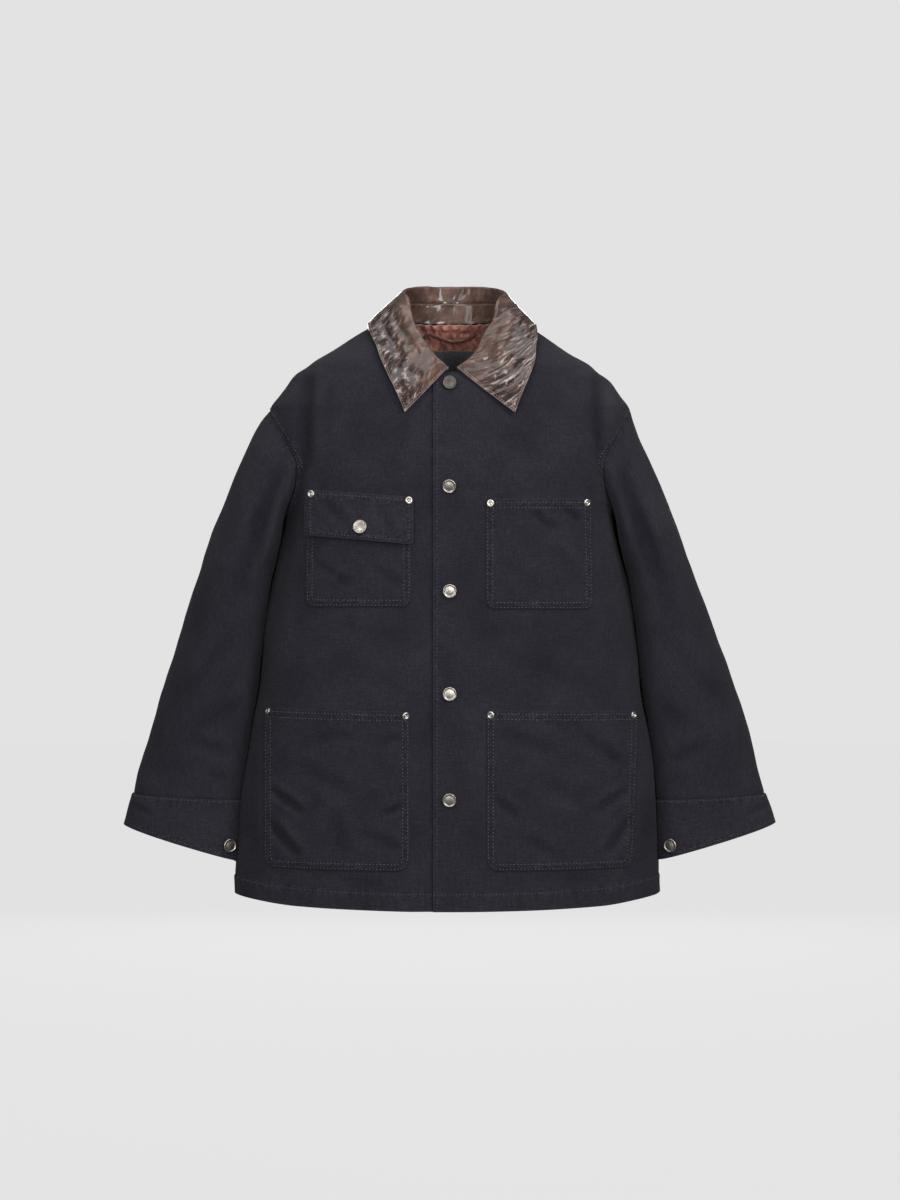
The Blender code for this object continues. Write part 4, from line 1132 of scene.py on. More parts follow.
def satin_material(colour):
    """Viscose satin: floats run one way; painted sheen on its pucker crests, painted shade between.
    """
    material, tree, shader = blank("viscose_satin")
    cut = cut_map(tree)
    pull = grain(tree, cut, 8.0, 13.0, Detail=3.0, Distortion=0.9)
    floats = grain(tree, cut, 0.7, 9.0, Detail=1.0)
    # the colour follows the puckers' height: painted sheen on their crests, painted shade in
    # hollows
    base = ramp(tree, pull, (0.32, rgba(colour, 0.55)), (0.52, rgba(colour)),
                (0.72, rgba(colour, 1.45)))
    normal = bump(tree, floats, 0.0003, 0.4, bump(tree, pull, 0.0040, 0.8))
    wire(tree, shader, base, normal, Roughness=0.48, Specular_IOR_Level=0.35, Sheen_Weight=0.10)
    return material


def tape_material(colour):
    """Close-woven polyester tape: fine ribs 2 mm apart."""
    material, tree, shader = blank("woven_tape")
    cut = cut_map(tree)
    rib = add(tree, "ShaderNodeTexWave", {"bands_direction": "Y"},
              Vector=stretched(tree, cut, 6.3, 6.3), Scale=1.0, Distortion=0.4).outputs["Fac"]
    fleck = grain(tree, cut, 3.0, 3.0, Detail=3.0)
    base = ramp(tree, fleck, (0.35, rgba(colour, 0.8)), (0.65, rgba(colour, 1.25)))
    wire(tree, shader, base, bump(tree, rib, 0.0002, 0.5), Roughness=0.7, Specular_IOR_Level=0.3)
    return material


def metal_material(name, colour, roughness):
    """Nickel-plated zinc, tumbled dull: darker in random patches, finely scuffed."""
    material, tree, shader = blank(name)
    spot = add(tree, "ShaderNodeTexCoord").outputs["Object"]
    dull = grain(tree, spot, 3.0, 3.0, Detail=5.0, Roughness=0.7)
    scuff = grain(tree, spot, 0.8, 3.5, Detail=3.0, Roughness=0.7)
    base = ramp(tree, dull, (0.33, rgba(colour, 0.62)), (0.62, rgba(colour)))
    wire(tree, shader, base, bump(tree, scuff, 0.0002, 0.35), Metallic=1.0, Roughness=roughness)
    return material


def materials():
    """The jacket's finishes, made once."""
    made = {}
    for material in bpy.data.materials:
        if material.name.startswith("jacket_"):
            made[material.name[7:]] = material
    if made:
        return made
    scene = bpy.context.scene
    made = {
        "canvas": canvas_material("jacket_canvas", scene.jacket_cloth.canvas),
        "thread": thread_material("jacket_thread", scene.jacket_cloth.thread),
        "buttonhole": thread_material("jacket_buttonhole", scene.jacket_cloth.buttonhole),
        "collar_thread": thread_material("jacket_collar_thread", linear("#a58b7f")),
        "leather": leather_material(scene.jacket_trim),
        "satin": satin_material(scene.jacket_trim.lining),
        # half the lining's colour: painted shade, as the loop hangs mostly in shadow
        "loop": satin_material([0.5 * c for c in scene.jacket_trim.lining]),
        "tape": tape_material(scene.jacket_trim.tape),
        "button": metal_material("jacket_button", scene.jacket_trim.metal, 0.36),
        # the top button's metal, darker and rougher: painted shade under the collar's points
        "button_dull": metal_material("jacket_button_dull",
                                      tuple(0.3 * c for c in scene.jacket_trim.metal), 0.45),
        "rivet": metal_material("jacket_rivet", linear("#c9c3bd"), 0.33),
    }
    for key, material in made.items():
        material.name = "jacket_" + key
    return made


# ------------------------------------------------------------------ operators
class JACKET_OT_body(bpy.types.Operator):
    """Lay the two fronts and the back, with their turned hem and main folds"""

    bl_idname = "jacket.body"
    bl_label = "Body panels"

    def execute(self, context):
        cloths = context.scene.jacket_cloth
        canvas = materials()["canvas"]
        for side, word in ((-1, "right"), (1, "left")):
            start = PLACKET_EDGE_X if side > 0 else -UNDERLAP_EDGE_X
            rows, heights = panel_rows(False, start)
            if side < 0:
                lo, hi = UNDERLAP_BLEND
                rows[..., 1] += UNDERLAP_STEP * np.clip((hi - rows[..., 0]) / (hi - lo), 0, 1)
            rows[..., 0] *= side
            self.lay(f"front_{word}_canvas", rows, heights, False, side, canvas, cloths.wall,
                     f"front_{word}")
        half, heights = panel_rows(True, 0.0)
        mirrored = half[:, :0:-1].copy()
        mirrored[..., 0] *= -1.0
        rows = np.concatenate([mirrored, half], axis=1)
        self.lay("back_canvas", rows, heights, True, 1, canvas, cloths.wall, "back")
        return {"FINISHED"}

    def lay(self, name, rows, heights, back, side, canvas, wall, node):
        """Adds folds, seam troughs and the thicker hem to a panel and makes it."""
        normals = body_normals(rows, back)
        rows = settle(rows)
        u, v = lengths(rows)
        high = heights[:, None] * np.ones(rows.shape[1])
        arm = (high > UNDERARM_Z) & (high < SHOULDER_TIP_Z)
        sides = [u[:, -1:] - u] + ([u] if back else [])
        beside = np.minimum.reduce(sides)
        hem_on = HEM_THICK * (1 - ease(v, HEM_TURN - 0.001, HEM_TURN + 0.0015))
        keep = ease(beside, 0.0, 0.012) * ease(v, 0.0, 0.020)
        move = folds(rows, BACK_FOLDS if back else BODY_FOLDS) * keep
        move += swell(rows, 0.075, 0.0022) * ease(beside, 0.0, 0.02) + swell(rows, 0.026, 0.0005)
        ripples = pucker(u, v, HEM_TURN - 0.004, 0.007, 0.00055, 0.0125)
        ripples += np.where(arm, pucker(v, beside, 0.006, 0.006, 0.00070, 0.0105), 0.0)
        move += hem_on + ripples
        move += ditch(v - HEM_TURN, 0.0008, 0.0014)
        move += np.where(arm, ditch(beside, 0.0007, 0.0018), ditch(beside, 0.0006, 0.0022))
        # painted shade in the troughs of folds, seams and puckers and painted highlight on their
        # crests; the side mark adds painted shade beside the side edge outside the armhole, where
        # the sleeve shades the body, most on the wearer's right
        fade = move / FOLD_FULL + ripples / RIPPLE_FULL
        painted_side_shade = np.where(rows[..., 0] < 0, 0.9, 0.15) * bell(beside, 0.024)
        fade = np.clip(fade - np.where(arm, 0.0, painted_side_shade), -1, 1)
        seam = 0.45 * bell(v - 0.019, 0.006)
        seam = np.maximum(seam, np.where(arm, bell(beside - 0.005, 0.006), 0.0))
        worn = 0.3 * bell(v, 0.0012)
        if not back:
            front_edge = ease(high, NECK_FRONT_Z - 0.004, NECK_FRONT_Z)
            seam = np.maximum(seam, 0.55 * (1 - front_edge) * bell(u - 0.003, 0.005))
            worn = np.maximum(worn, 0.3 * (1 - front_edge) * bell(u, 0.0009))
            move += 0.0004 * (1 - front_edge) * (1 - ease(u, 0.0055, 0.0075))
        rows = rows + normals * move[..., None]
        flip = back or side < 0
        normals = grid_normals(rows, False, flip)
        cloth(name, rows, normals, [canvas], "cotton_canvas", node, flip=flip,
              marks={"seam": seam, "worn": worn, "fade": fade}, wall=wall, edge=CANVAS_EDGE)


class JACKET_OT_sleeves(bpy.types.Operator):
    """Lay the sleeves and their cuffs"""

    bl_idname = "jacket.sleeves"
    bl_label = "Sleeves and cuffs"

    def execute(self, context):
        cloths = context.scene.jacket_cloth
        canvas = materials()["canvas"]
        loop = armhole_loop(SLEEVE_AROUND)
        for side, word in ((-1, "right"), (1, "left")):
            v = spread(0.0, 9.0, 0.058, (0.012, 0.035, 0.070))
            panels = [(TREES[name], Vector((side, 0, 0)))
                      for name in (f"front_{word}_canvas", "back_canvas")]
            square = 2.0 + 1.4 * ease(v, 0.6, 2.5)
            rings = sleeve_rings(SLEEVE, side, v, SLEEVE_AROUND, square, loop)
            low = rings[..., 2:] < UNDERARM_Z - 0.002
            rings = np.where(low, lift_clear(rings, panels, CLEAR), rings)
            middle = rings[-1:].mean(axis=1, keepdims=True)
            tucked = [middle + WRIST_TUCK * (rings[-1:] - middle) - np.array([0, 0, drop])
                      for drop in WRIST_DROPS]
            rings = np.concatenate([rings] + tucked)
            self.lay(f"sleeve_{word}_canvas", rings, side, canvas, cloths.wall,
                     f"sleeve_{word}", False)
            v = spread(0.0, 2.0, 0.085, (0.02, 0.06, 0.12))
            rings = sleeve_rings(CUFF, side, v, SLEEVE_AROUND, np.full_like(v, CUFF_SQUARE))
            if side < 0:
                rings[..., 2] -= CUFF_SAG * ease(v / v[-1], 0.0, 1.0)[:, None]
            rings = lift_clear(rings, panels, CLEAR)
            self.lay(f"cuff_{word}_canvas", rings, side, canvas, cloths.wall + CUFF_EXTRA,
                     f"cuff_{word}", True)
        return {"FINISHED"}

    def lay(self, name, rings, side, canvas, wall, node, is_cuff):
        """Adds folds and seam troughs to a tube and makes it."""
        normals = grid_normals(rings, True, side < 0)
        u, v = lengths(rings)
        down = v[-1:] - v
        outer = ease(side * normals[..., 0], -0.75, -0.35)
        front = ease(-normals[..., 1], 0.05, 0.5)
        rear = ease(normals[..., 1], 0.05, 0.5)
        mirrored = rings * np.array([-1.0, 1.0, 1.0])
        move = folds(rings, SLEEVE_FOLDS) * front + folds(mirrored, SLEEVE_FOLDS) * rear
        move += swell(rings, 0.07, 0.0022) + swell(rings, 0.024, 0.0006)
        if is_cuff:
            move = move * 0.8 * outer
            move += 0.0007 * ease(v, 0.0005, 0.0015) + pucker(u, v, 0.004, 0.004, 0.0003, 0.011)
            seam = np.maximum(bell(v - 0.004, 0.005),
                              bell(down - 0.005, 0.006))
            worn = 0.3 * bell(down, 0.0010) + 0.05 * bell(v, 0.0010)
        else:
            down = np.abs(v[-3:-2] - v)    # the last two rings are tucked into the cuff
            move = move * outer * ease(v, 0.0, 0.016) * ease(down, 0.0, 0.012)
            move += ditch(v, 0.0007, 0.0018) + ditch(down, 0.0008, 0.0016)
            seam = bell(v, 0.005) + 0.6 * bell(down, 0.004)
            worn = np.zeros_like(v)
        rings = rings + normals * move[..., None]
        normals = grid_normals(rings, True, side < 0)
        # the fold mark: painted shade in the troughs of folds and seams, painted highlight on
        # ridges
        cloth(name, rings, normals, [canvas], "cotton_canvas", node, closed=True, flip=side < 0,
              marks={"seam": np.clip(seam, 0, 1), "worn": np.clip(worn, 0, 1),
                     "fade": np.clip(move / FOLD_FULL, -1, 1)}, wall=wall, edge=CANVAS_EDGE)


class JACKET_OT_collar(bpy.types.Operator):
    """Make the leather collar: its stand inside the neck and its turned-down leaf"""

    bl_idname = "jacket.collar"
    bl_label = "Leather collar"

    def execute(self, context):
        trim = context.scene.jacket_trim
        leather = materials()["leather"]
        base, roll, edge = collar_curves(COLLAR_STEPS)
        angles = np.radians(np.linspace(-75, 75, 11))
        arc = roll_arc(base, roll, edge, angles)
        seam = base + STAND_SHARE * (arc[0] - base)
        rows = [seam + (arc[0] - seam) * s for s in spread(0.0, 1.0, 0.11, (0.03, 0.08))[:-1]]
        rows += arc
        bend = arc[-1] + unit(arc[-1] - arc[-2]) * 0.012 + unit(edge - arc[-1]) * 0.008
        for s in spread(0.0, 1.0, 0.032, (0.01, 0.025, 0.045))[1:]:
            rows.append((1 - s) ** 2 * arc[-1] + 2 * s * (1 - s) * bend + s * s * edge)
        rows = np.array(rows)
        leaf = len(rows) - LEAF_ROWS
        rows = self.rounded(rows, TURN_PASSES, TURN_FILL)
        off = trim.leather_wall + 0.0014 + 0.0044 * np.linspace(0, 1, len(rows) - leaf) ** 2
        ahead, behind = Vector((0, -1, 0.8)), Vector((0, 1, 0.8))
        panels = ((TREES["front_right_canvas"], ahead), (TREES["front_left_canvas"], ahead),
                  (TREES["back_canvas"], behind))
        for passes in (3, 3, 0):
            rows[leaf:] = lift_clear(rows[leaf:], panels, off[:, None])
            rows = self.rounded(rows, passes, 0.0)
        normals = grid_normals(rows)
        u, v = lengths(rows)
        down = v[-1:] - v
        ends = from_ends(u)
        near = np.minimum(down, ends)
        fade = ease(near, 0.0, 0.008) * ease(v, 0.0, 0.004)
        move = folds(rows, LEATHER_FOLDS) * ease(-normals[..., 1], -0.2, 0.3)
        ripple = np.stack([u / 0.022, v / 0.040, 0 * u], axis=-1)
        loose = 0.35 + 0.65 * ease(-normals[..., 1], 0.2, 0.6)
        move += loose * (swell(ripple, 1.0, 0.0020) + swell(ripple * 2.2 + 7.0, 1.0, 0.0009))
        room = 0.0011 + 0.0014 * ease(v, 0.03, 0.09)
        move = np.where(move < 0, room * np.tanh(move / room), move) * fade
        move += ditch(near - LEATHER_STITCH_IN, 0.0005, 0.0011)
        move += ditch(v, 0.0008, 0.0015)
        rows = rows + normals * move[..., None]
        normals = grid_normals(rows)
        worn = 0.7 * bell(near, 0.0008)
        stitched = bell(near - LEATHER_STITCH_IN, 0.003)
        # the fold mark: painted shade in the troughs of the leather's folds, painted highlight on
        # ridges
        cloth("collar_leaf_leather", rows, normals, [leather], "collar_leather", "collar_fall",
              marks={"seam": stitched, "worn": worn, "fade": np.clip(move / LEATHER_FULL, -1, 1)},
              wall=trim.leather_wall, edge=0.0006)
        top = seam - unit(arc[0] - base) * SEAM_GAP
        cut = round(STAND_ENDS * COLLAR_STEPS)
        rows = np.array([base + (top - base) * s
                         for s in spread(-STAND_TUCK, 1.0, 0.07, (0.02, 0.05))])
        rows = rows[:, cut:-cut]
        normals = grid_normals(rows)
        u, v = lengths(rows)
        down = v[-1:] - v
        near = np.minimum(np.minimum(v, down), from_ends(u))
        ripple = np.stack([u / 0.02, v / 0.03, 0 * u + 3.0], axis=-1)
        move = folds(rows, STAND_FOLDS) + swell(ripple, 1.0, 0.0012)
        move = move * ease(near, 0.0, 0.005) + ditch(down, 0.0007, 0.0014)
        rows = rows + normals * move[..., None]
        cloth("collar_stand_leather", rows, grid_normals(rows), [leather], "collar_leather",
              "collar_stand", marks={"seam": bell(near - 0.002, 0.002),
                                     "worn": 0.12 * bell(near, 0.0010)},
              wall=trim.leather_wall, edge=CANVAS_EDGE)
        return {"FINISHED"}

    def rounded(self, rows, passes, fill):
        """Softens the collar's turn from front to back over each shoulder."""
        soft = rows.copy()
        for _ in range(passes):
            soft[:, 1:-1] = 0.25 * soft[:, :-2] + 0.5 * soft[:, 1:-1] + 0.25 * soft[:, 2:]
        low = np.linspace(0, 1, len(rows))[:, None] ** 2
        soft[..., 0] += np.sign(rows[..., 0]) * fill * low
        soft[..., 2] -= abs(fill) * low
        turn = ease(np.abs(rows[..., 0]), 0.045, 0.075) * ease(rows[..., 2], -0.065, -0.040)
        return rows + (soft - rows) * turn[..., None]


def pocket_spot(spec, s, h):
    """x and z on a pocket: s from the inner to the outer side, h from the bottom up, 0 to 1."""
    in_x, out_x, top_in, top_out, bottom_in, bottom_out, low_out_x, _, side = spec
    x = in_x + (low_out_x + (out_x - low_out_x) * h - in_x) * s
    low = bottom_in + (bottom_out - bottom_in) * s
    return side * x, low + (top_in + (top_out - top_in) * s - low) * h


def pocket_size(spec):
    """Width and height of a pocket as seen from the front."""
    return spec[1] - spec[0], 0.5 * (spec[2] + spec[3] - spec[4] - spec[5])


class JACKET_OT_pockets(bpy.types.Operator):
    """Sew the four patch pockets and the chest flap on the fronts"""

    bl_idname = "jacket.pockets"
    bl_label = "Pockets and flap"

    def execute(self, context):
        for name, spec in POCKETS.items():
            self.patch(name, spec, POCKET_HEIGHT, 0.0)
        self.patch("flap_chest_right", FLAP, FLAP_HEIGHT, FLAP_LIFT)
        return {"FINISHED"}

    def patch(self, name, spec, height, lift):
        """A patch laid on its front, its edges turned down on to the panel; a flap stands off."""
        flap = lift > 0
        wide, tall = pocket_size(spec)
        corner, side = spec[7], spec[8]
        tree = TREES["front_left_canvas" if side > 0 else "front_right_canvas"]
        across = spread(0.0, wide, 0.0021) / wide
        ups = np.concatenate([corner * (1 - np.cos(np.linspace(0, np.pi / 2, 9)[:-1])),
                              spread(corner, tall, 0.0021)])
        rows, near = [], []
        for h in ups:
            inset = 0.0
            if h < corner:
                inset = corner - math.sqrt(max(corner ** 2 - (corner - h) ** 2, 0.0))
            line, gaps = [], []
            for s in across:
                x = inset + (wide - 2 * inset) * s
                px, pz = pocket_spot(spec, x / wide, h / tall)
                hit, normal = cast(tree, px, pz)
                gap = min(x, wide - x, h)
                if h < corner and x < corner:
                    gap = corner - math.hypot(corner - x, corner - h)
                if h < corner and wide - x < corner:
                    gap = corner - math.hypot(corner - wide + x, corner - h)
                off = self.stand(gap, h, tall, height, lift)
                line.append(np.array(hit) + np.array(normal) * off)
                gaps.append(max(gap, 0.0))
            rows.append(line)
            near.append(gaps)
        rows, near = np.array(rows), np.array(near)
        flip = side < 0
        normals = grid_normals(rows, False, flip)
        u, v = lengths(rows)
        mouth = v[-1:] - v
        move = folds(rows, POCKET_FOLDS) * ease(near, 0.001, 0.012) * ease(mouth, 0.002, 0.012)
        move += swell(rows, 0.030, 0.0008) * ease(near, 0.0, 0.008)
        run = u + v * 1.3
        ripples = pucker(run, near, 0.006, 0.0045, 0.00045, 0.0088)
        ripples += pucker(u, mouth, 0.008, 0.006, 0.00038, 0.0095)
        move += ripples
        # painted shade in the troughs of folds and puckers and painted highlight on their crests;
        # the flap is painted lighter as a whole, as its upturned face catches more light
        fade = move / (0.85 * FOLD_FULL) + 0.7 * ripples / RIPPLE_FULL + (0.35 if flap else 0.0)
        fade = np.clip(fade, -1, 1)
        move += ditch(near - 0.0028, 0.00040, 0.0011) + ditch(near - 0.0090, 0.00040, 0.0012)
        rows = rows + normals * np.maximum(move, -0.0018)[..., None]
        normals = grid_normals(rows, False, flip)
        edge = bell(near - 0.006, 0.0062)
        band = bell(mouth - 0.008, 0.007)
        worn = np.maximum(0.3 * bell(near, 0.0009), 0.4 * bell(mouth, 0.0009))
        cloth(f"{name}_canvas", rows, normals, [materials()["canvas"]], "cotton_canvas", name,
              flip=flip, marks={"seam": np.maximum(edge, band), "worn": worn, "fade": fade},
              wall=FLAP_WALL if flap else POCKET_WALL, edge=FLAP_EDGE if flap else POCKET_EDGE)

    def stand(self, gap, h, tall, height, lift):
        """How far a point of the patch stands off its panel."""
        if lift:
            return height + lift * (1 - h / tall) ** 1.3 - 0.0005 * math.exp(-gap / 0.0010)
        mouth = 0.0005 * math.exp(-(tall - h) / 0.012) * min(1.0, gap / 0.02)
        return height * (1 - 0.72 * math.exp(-gap / 0.0013)) + mouth


class JACKET_OT_neck(bpy.types.Operator):
    """Hang the satin piece, its loop and the bare woven patch inside the back of the neck"""

    bl_idname = "jacket.neck"
    bl_label = "Neck lining"

    def execute(self, context):
        made = materials()
        xs, zs = np.meshgrid(np.linspace(-LINING_HALF, LINING_HALF, LINING_GRID[0]),
                             np.linspace(*LINING_Z, LINING_GRID[1]))
        rows = lining_point(xs, zs, LINING_INWARD)
        normals = grid_normals(rows)
        u, v = lengths(rows)
        near = np.minimum(from_ends(u), v)
        move = folds(rows, LINING_FOLDS) * ease(near, 0.0, 0.006)
        ripple = np.stack([u / 0.010, v / 0.022, 0 * u], axis=-1)
        move += swell(ripple, 1.0, 0.0011) * ease(near, 0.0, 0.006)
        rows = rows + normals * np.clip(1.6 * move, -0.0010, 0.0032)[..., None]
        cloth("back_lining_satin", rows, grid_normals(rows), [made["satin"]], "satin_lining",
              "back_lining", wall=0.0008)
        xs, zs = np.meshgrid(np.linspace(*LABEL_X, LABEL_GRID[0]),
                             np.linspace(*LABEL_Z, LABEL_GRID[1]))
        rows = lining_point(xs, zs, LABEL_INWARD)
        normals = grid_normals(rows)
        rows = rows + normals * swell(rows, 0.03, 0.0005)[..., None]
        cloth("neck_patch_tape", rows, grid_normals(rows), [made["tape"]], "dark_tape",
              "neck_label", wall=0.0006)
        self.loop(made["loop"])
        return {"FINISHED"}

    def loop(self, satin):
        """The hanger loop: a flat folded strip that sags between its sewn ends."""
        at = np.linspace(0, len(LOOP) - 1, LOOP_STEPS)
        path = through(np.array([lining_point(x, z, LOOP_INWARD) for x, z in LOOP]), at)
        run = unit(np.gradient(path, axis=0))
        deep = unit(lining_point(path[:, 0], path[:, 2], 0.0)
                    - lining_point(path[:, 0], path[:, 2], 0.002))
        deep = unit(deep - run * np.sum(deep * run, axis=1, keepdims=True))
        wide = np.cross(run, deep)
        angle = 2 * np.pi * (np.arange(LOOP_AROUND) + 0.5) / LOOP_AROUND
        flat = np.sign(np.cos(angle)) * np.abs(np.cos(angle)) ** 0.7
        rows = (path[:, None] + wide[:, None] * LOOP_HALF[0] * flat[None, :, None]
                + deep[:, None] * LOOP_HALF[1] * np.sin(angle)[None, :, None])
        normals = grid_normals(rows, True)
        cloth("hanger_loop_satin", rows, normals, [satin], "satin_lining", "hanger_loop",
              closed=True, wall=0.0004)


class JACKET_OT_metal(bpy.types.Operator):
    """Set the shank buttons and the tubular rivets"""

    bl_idname = "jacket.metal"
    bl_label = "Buttons and rivets"

    def execute(self, context):
        made = materials()
        for k, z in enumerate(FRONT_BUTTONS_Z):
            # the first button takes the darker metal, its painted shade
            self.set(f"front_button_{k + 1}", "front_left", (BUTTON_LINE_X, z), "front",
                     made["button" if k else "button_dull"], f"button_front_{k + 1}",
                     BUTTON_TILT[k])
        self.set("flap_button", "flap_chest_right", FLAP_BUTTON, "flap", made["button"],
                 "button_flap", FLAP_BUTTON_TILT)
        for side, word in ((-1, "right"), (1, "left")):
            spot = (side * CUFF_BUTTON[0], CUFF_BUTTON[1])
            self.set(f"cuff_button_{word}", f"cuff_{word}", spot, "cuff", made["button"],
                     f"button_cuff_{word}")
        for name, (x, z, on_flap) in RIVETS.items():
            under = "flap_chest_right" if on_flap else "pocket_" + "_".join(name.split("_")[1:3])
            self.set(name, under, (x, z), "rivet", made["rivet"], name)
        return {"FINISHED"}

    def set(self, name, under, spot, kind, material, node, tilt=(0.0, 0.0)):
        """Casts a button or rivet on to the canvas piece that it goes through."""
        hit, normal = cast(TREES[f"{under}_canvas"], *spot)
        profile, steps = (RIVET_PROFILE, 28) if kind == "rivet" else (BUTTON_PROFILE, 40)
        turned(f"{name}_metal", profile, steps, hit + normal * SEATS[kind], normal, material,
               node, tilt=tilt)


class JACKET_OT_stitching(bpy.types.Operator):
    """Sew every row of topstitching and the buttonholes"""

    bl_idname = "jacket.stitching"
    bl_label = "Stitching"

    def execute(self, context):
        pitch = context.scene.jacket_cloth.stitch
        made = materials()
        bm = bmesh.new()
        for word in ("right", "left"):
            front = f"front_{word}_canvas"
            sew(bm, *path_at(front, "v", HEM_TURN - 0.0020), pitch, SMALL_STITCH)
            for inset, top in zip(ARM_INSETS, (-0.001, 0.004)):
                path, up = path_at(front, "u_end", inset)
                arm = (path[:, 2] > -0.200) & (path[:, 2] < SHOULDER_TIP_Z + top)
                sew(bm, path[arm], up[arm], pitch)
            if word == "left":
                path, up = path_at(front, "u", 0.0052)
                below = path[:, 2] < NECK_FRONT_Z - 0.004
                sew(bm, path[below], up[below], pitch, SMALL_STITCH)
            cuff = f"cuff_{word}_canvas"
            sew(bm, *path_at(cuff, "v", 0.0026), pitch, SMALL_STITCH)
            sew(bm, *path_at(cuff, "v_end", 0.0045), pitch, SMALL_STITCH)
        sew(bm, *path_at("back_canvas", "v", HEM_TURN - 0.0020), pitch, SMALL_STITCH)
        for which in ("u", "u_end"):
            for inset in ARM_INSETS:
                path, up = path_at("back_canvas", which, inset)
                arm = (path[:, 2] > UNDERARM_Z + 0.006) & (path[:, 2] < SHOULDER_TIP_Z)
                sew(bm, path[arm], up[arm], pitch)
        for name, spec in POCKETS.items():
            for inset in POCKET_INSETS:
                self.round_patch(bm, name, spec, inset, pitch)
        self.round_patch(bm, "flap_chest_right", FLAP, FLAP_INSET, pitch)
        finish_piece("topstitching_thread", bm, [made["thread"]], "cotton_canvas")
        bm = bmesh.new()
        path, up = path_at("collar_leaf_leather", "v_end", LEATHER_STITCH_IN)
        sew(bm, path, up, LEATHER_PITCH, LEATHER_STITCH)
        for which in ("u", "u_end"):
            path, up = path_at("collar_leaf_leather", which, LEATHER_STITCH_IN)
            leaf = slice(-LEAF_STITCH_ROWS, None)
            sew(bm, path[leaf], up[leaf], LEATHER_PITCH, LEATHER_STITCH)
        finish_piece("collar_thread", bm, [made["collar_thread"]], "collar_leather")
        bm = bmesh.new()
        for z in FRONT_BUTTONS_Z:
            self.hole(bm, "front_left_canvas", (BUTTON_LINE_X - 0.003, z), (0.0145, z))
        x, z = FLAP_BUTTON
        self.hole(bm, "flap_chest_right_canvas", (x, z - 0.002), (x, z + 0.0180))
        x, z = CUFF_BUTTON
        self.hole(bm, "cuff_right_canvas", (-x + 0.002, z), (-x - HOLE_LENGTH, z + 0.001))
        self.hole(bm, "cuff_left_canvas", (x - 0.002, z), (x + HOLE_LENGTH, z + 0.001))
        finish_piece("buttonhole_thread", bm, [made["buttonhole"]], "cotton_canvas")
        return {"FINISHED"}

    def round_patch(self, bm, name, spec, inset, pitch):
        """Rows of stitches round a patch, a distance in from its edge, and along its mouth."""
        wide, tall = pocket_size(spec)
        corner = max(spec[7] - inset, 0.001)
        top = tall - 0.0015
        turn = np.linspace(0, np.pi / 2, 9)
        near, far = inset + corner, wide - inset - corner
        cos, sin, still = np.cos(turn), np.sin(turn), np.ones(SIDE_STEPS)
        s = np.concatenate([inset * still, inset + corner * (1 - cos),
                            np.linspace(near, far, SIDE_STEPS), far + corner * sin,
                            (wide - inset) * still])
        h = np.concatenate([np.linspace(top, near, SIDE_STEPS), inset + corner * (1 - sin),
                            inset * still, inset + corner * (1 - cos),
                            np.linspace(near, top, SIDE_STEPS)])
        self.on_patch(bm, name, spec, s / wide, h / tall, pitch)
        along = np.linspace(0.0030, wide - 0.0030, MOUTH_STEPS)
        level = tall - (0.0045 if inset < 0.005 else 0.0115)
        self.on_patch(bm, name, spec, along / wide, np.full(MOUTH_STEPS, level / tall), pitch)

    def on_patch(self, bm, name, spec, s, h, pitch):
        """A row of stitches along places on a patch."""
        path, up = [], []
        for a, b in zip(s, h):
            hit, normal = cast(TREES[f"{name}_canvas"], *pocket_spot(spec, a, b))
            path.append(hit)
            up.append(normal)
        sew(bm, np.array(path), np.array(up), pitch)

    def hole(self, bm, name, start, end):
        """A buttonhole: two close rows of stitches set across its slit."""
        across = np.array((end[1] - start[1], start[0] - end[0]))
        across = across / np.linalg.norm(across) * HOLE_HALF
        for turn in (-1, 1):
            path, up = [], []
            for t in np.linspace(0, 1, 12):
                x = start[0] + (end[0] - start[0]) * t + turn * across[0]
                z = start[1] + (end[1] - start[1]) * t + turn * across[1]
                hit, normal = cast(TREES[name], x, z)
                path.append(hit)
                up.append(normal)
            sew(bm, np.array(path), np.array(up), HOLE_PITCH, HOLE_STITCH, across=True)


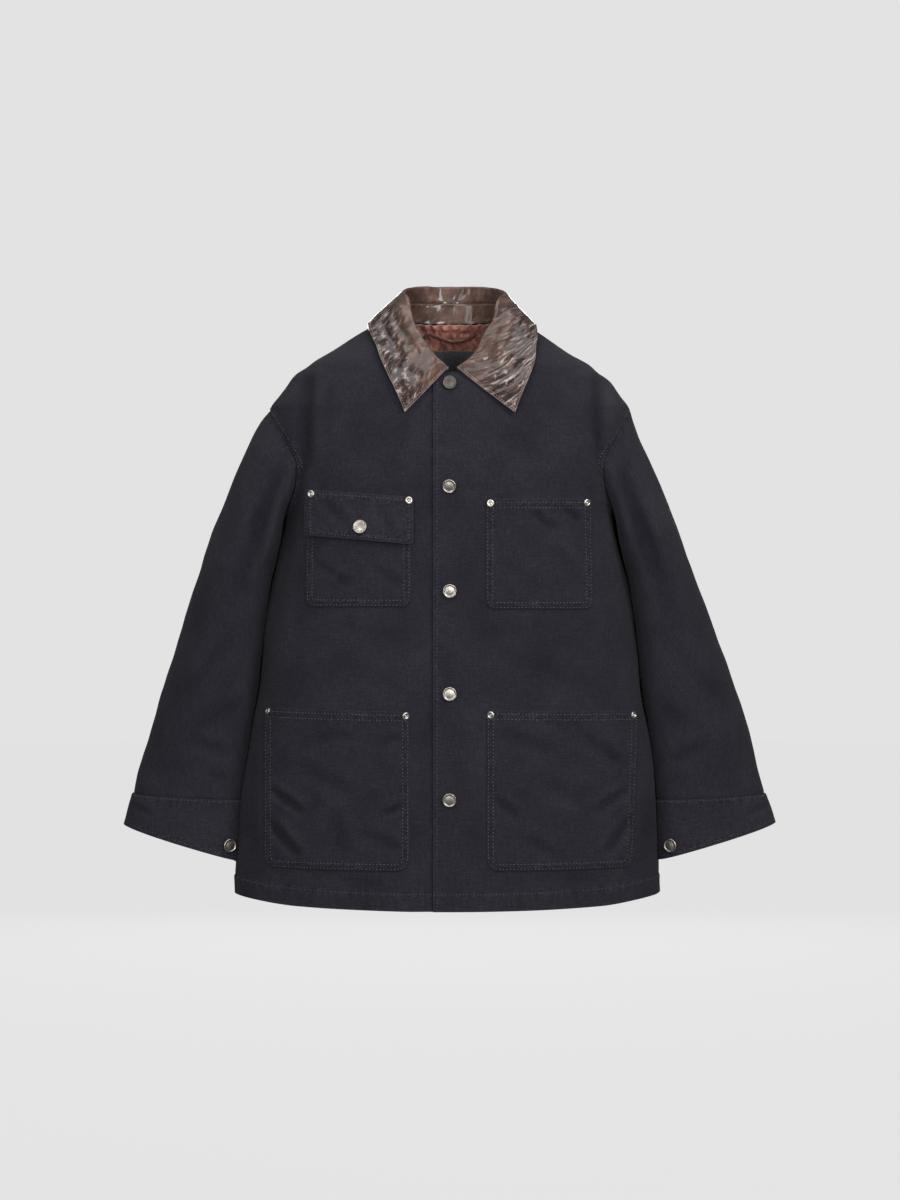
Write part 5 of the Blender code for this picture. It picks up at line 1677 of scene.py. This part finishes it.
class JACKET_OT_stage(bpy.types.Operator):
    """Set the pale floor, the soft studio light and the level camera"""

    bl_idname = "jacket.stage"
    bl_label = "Stage"

    def execute(self, context):
        scene = context.scene
        stage = scene.jacket_stage
        bm = bmesh.new()
        bmesh.ops.create_circle(bm, cap_ends=True, segments=96, radius=FLOOR_RADIUS)
        bmesh.ops.translate(bm, verts=bm.verts, vec=(0, 0, stage.floor))
        mesh = bpy.data.meshes.new("floor")
        bm.to_mesh(mesh)
        bm.free()
        floor = bpy.data.objects.new("floor", mesh)
        scene.collection.objects.link(floor)
        # matt studio paint, lit from below as a light table is, so it keeps one even tone
        paint, tree, shader = blank("studio_paint")
        cloudy = add(tree, "ShaderNodeTexNoise", Scale=2.0, Detail=3.0).outputs["Fac"]
        tree.links.new(ramp(tree, cloudy, (0.3, rgba(stage.backdrop, 0.04)),
                            (0.7, rgba(stage.backdrop, 0.045))), shader.inputs["Base Color"])
        shader.inputs["Roughness"].default_value = 1.0
        shader.inputs["Specular IOR Level"].default_value = 0.0
        shader.inputs["Emission Color"].default_value = rgba(stage.backdrop)
        tree.links.new(self.to_lens(tree, stage.fill, 0.98), shader.inputs["Emission Strength"])
        mesh.materials.append(paint)

        world = bpy.data.worlds.new("studio")
        world.use_nodes = True
        sky = world.node_tree.nodes["Background"]
        sky.inputs["Color"].default_value = rgba(stage.backdrop)
        world.node_tree.links.new(self.to_lens(world.node_tree, stage.fill, 1.0),
                                  sky.inputs["Strength"])
        scene.world = world
        for name, (place, aim, wide, tall, setting, part) in LIGHTS.items():
            self.softbox(name, place, aim, wide, tall, part * getattr(stage, setting))

        camera = bpy.data.cameras.new("camera")
        camera.sensor_fit = "VERTICAL"
        camera.sensor_height = camera.sensor_width = FILM
        camera.lens = stage.lens
        view = bpy.data.objects.new("camera", camera)
        view.location = (0.0, -stage.distance, stage.height)
        view.rotation_euler = (math.pi / 2, 0.0, 0.0)
        scene.collection.objects.link(view)
        scene.camera = view
        scene.view_settings.view_transform = "Standard"
        scene.view_settings.look = "None"
        scene.view_settings.exposure = 0.0
        scene.view_settings.gamma = 1.0
        return {"FINISHED"}

    def to_lens(self, tree, fill, full):
        """Strength of a pale surround: full as seen, a share of it as light on the jacket."""
        seen_by_lens = add(tree, "ShaderNodeLightPath").outputs["Is Camera Ray"]
        return maths(tree, "ADD", maths(tree, "MULTIPLY", seen_by_lens, full * (1 - fill)),
                     full * fill)

    def softbox(self, name, place, aim, wide, tall, power):
        """A rectangular soft light aimed at a point."""
        lamp = bpy.data.lights.new(name, "AREA")
        lamp.shape = "RECTANGLE"
        lamp.size = wide
        lamp.size_y = tall
        lamp.energy = power
        box = bpy.data.objects.new(name, lamp)
        box.location = place
        box.rotation_euler = (Vector(aim) - Vector(place)).to_track_quat("-Z", "Y").to_euler()
        bpy.context.scene.collection.objects.link(box)


class JACKET_PT_panel(bpy.types.Panel):
    """The jacket's settings and pieces"""

    bl_label = "Work jacket"
    bl_space_type = "VIEW_3D"
    bl_region_type = "UI"
    bl_category = "Jacket"

    def draw(self, context):
        for group in (context.scene.jacket_cloth, context.scene.jacket_trim,
                      context.scene.jacket_stage):
            box = self.layout.box()
            for key in group.__annotations__:
                box.prop(group, key)
        for operator in OPERATORS:
            self.layout.operator(operator.bl_idname)


GROUPS = (("jacket_cloth", JacketCloth), ("jacket_trim", JacketTrim), ("jacket_stage", JacketStage))
OPERATORS = (JACKET_OT_body, JACKET_OT_sleeves, JACKET_OT_collar, JACKET_OT_pockets,
             JACKET_OT_neck, JACKET_OT_metal, JACKET_OT_stitching, JACKET_OT_stage)


def register():
    """Registers the settings, the operators and the panel."""
    for name, group in GROUPS:
        bpy.utils.register_class(group)
        setattr(bpy.types.Scene, name, bpy.props.PointerProperty(type=group))
    for operator in OPERATORS:
        bpy.utils.register_class(operator)
    bpy.utils.register_class(JACKET_PT_panel)


def unregister():
    """Takes them out again."""
    bpy.utils.unregister_class(JACKET_PT_panel)
    for operator in reversed(OPERATORS):
        bpy.utils.unregister_class(operator)
    for name, group in reversed(GROUPS):
        delattr(bpy.types.Scene, name)
        bpy.utils.unregister_class(group)


def main():
    """Makes the whole jacket and its stage."""
    register()
    bpy.ops.jacket.body()
    bpy.ops.jacket.sleeves()
    bpy.ops.jacket.collar()
    bpy.ops.jacket.pockets()
    bpy.ops.jacket.neck()
    bpy.ops.jacket.metal()
    bpy.ops.jacket.stitching()
    bpy.ops.jacket.stage()


if __name__ == "__main__":
    main()
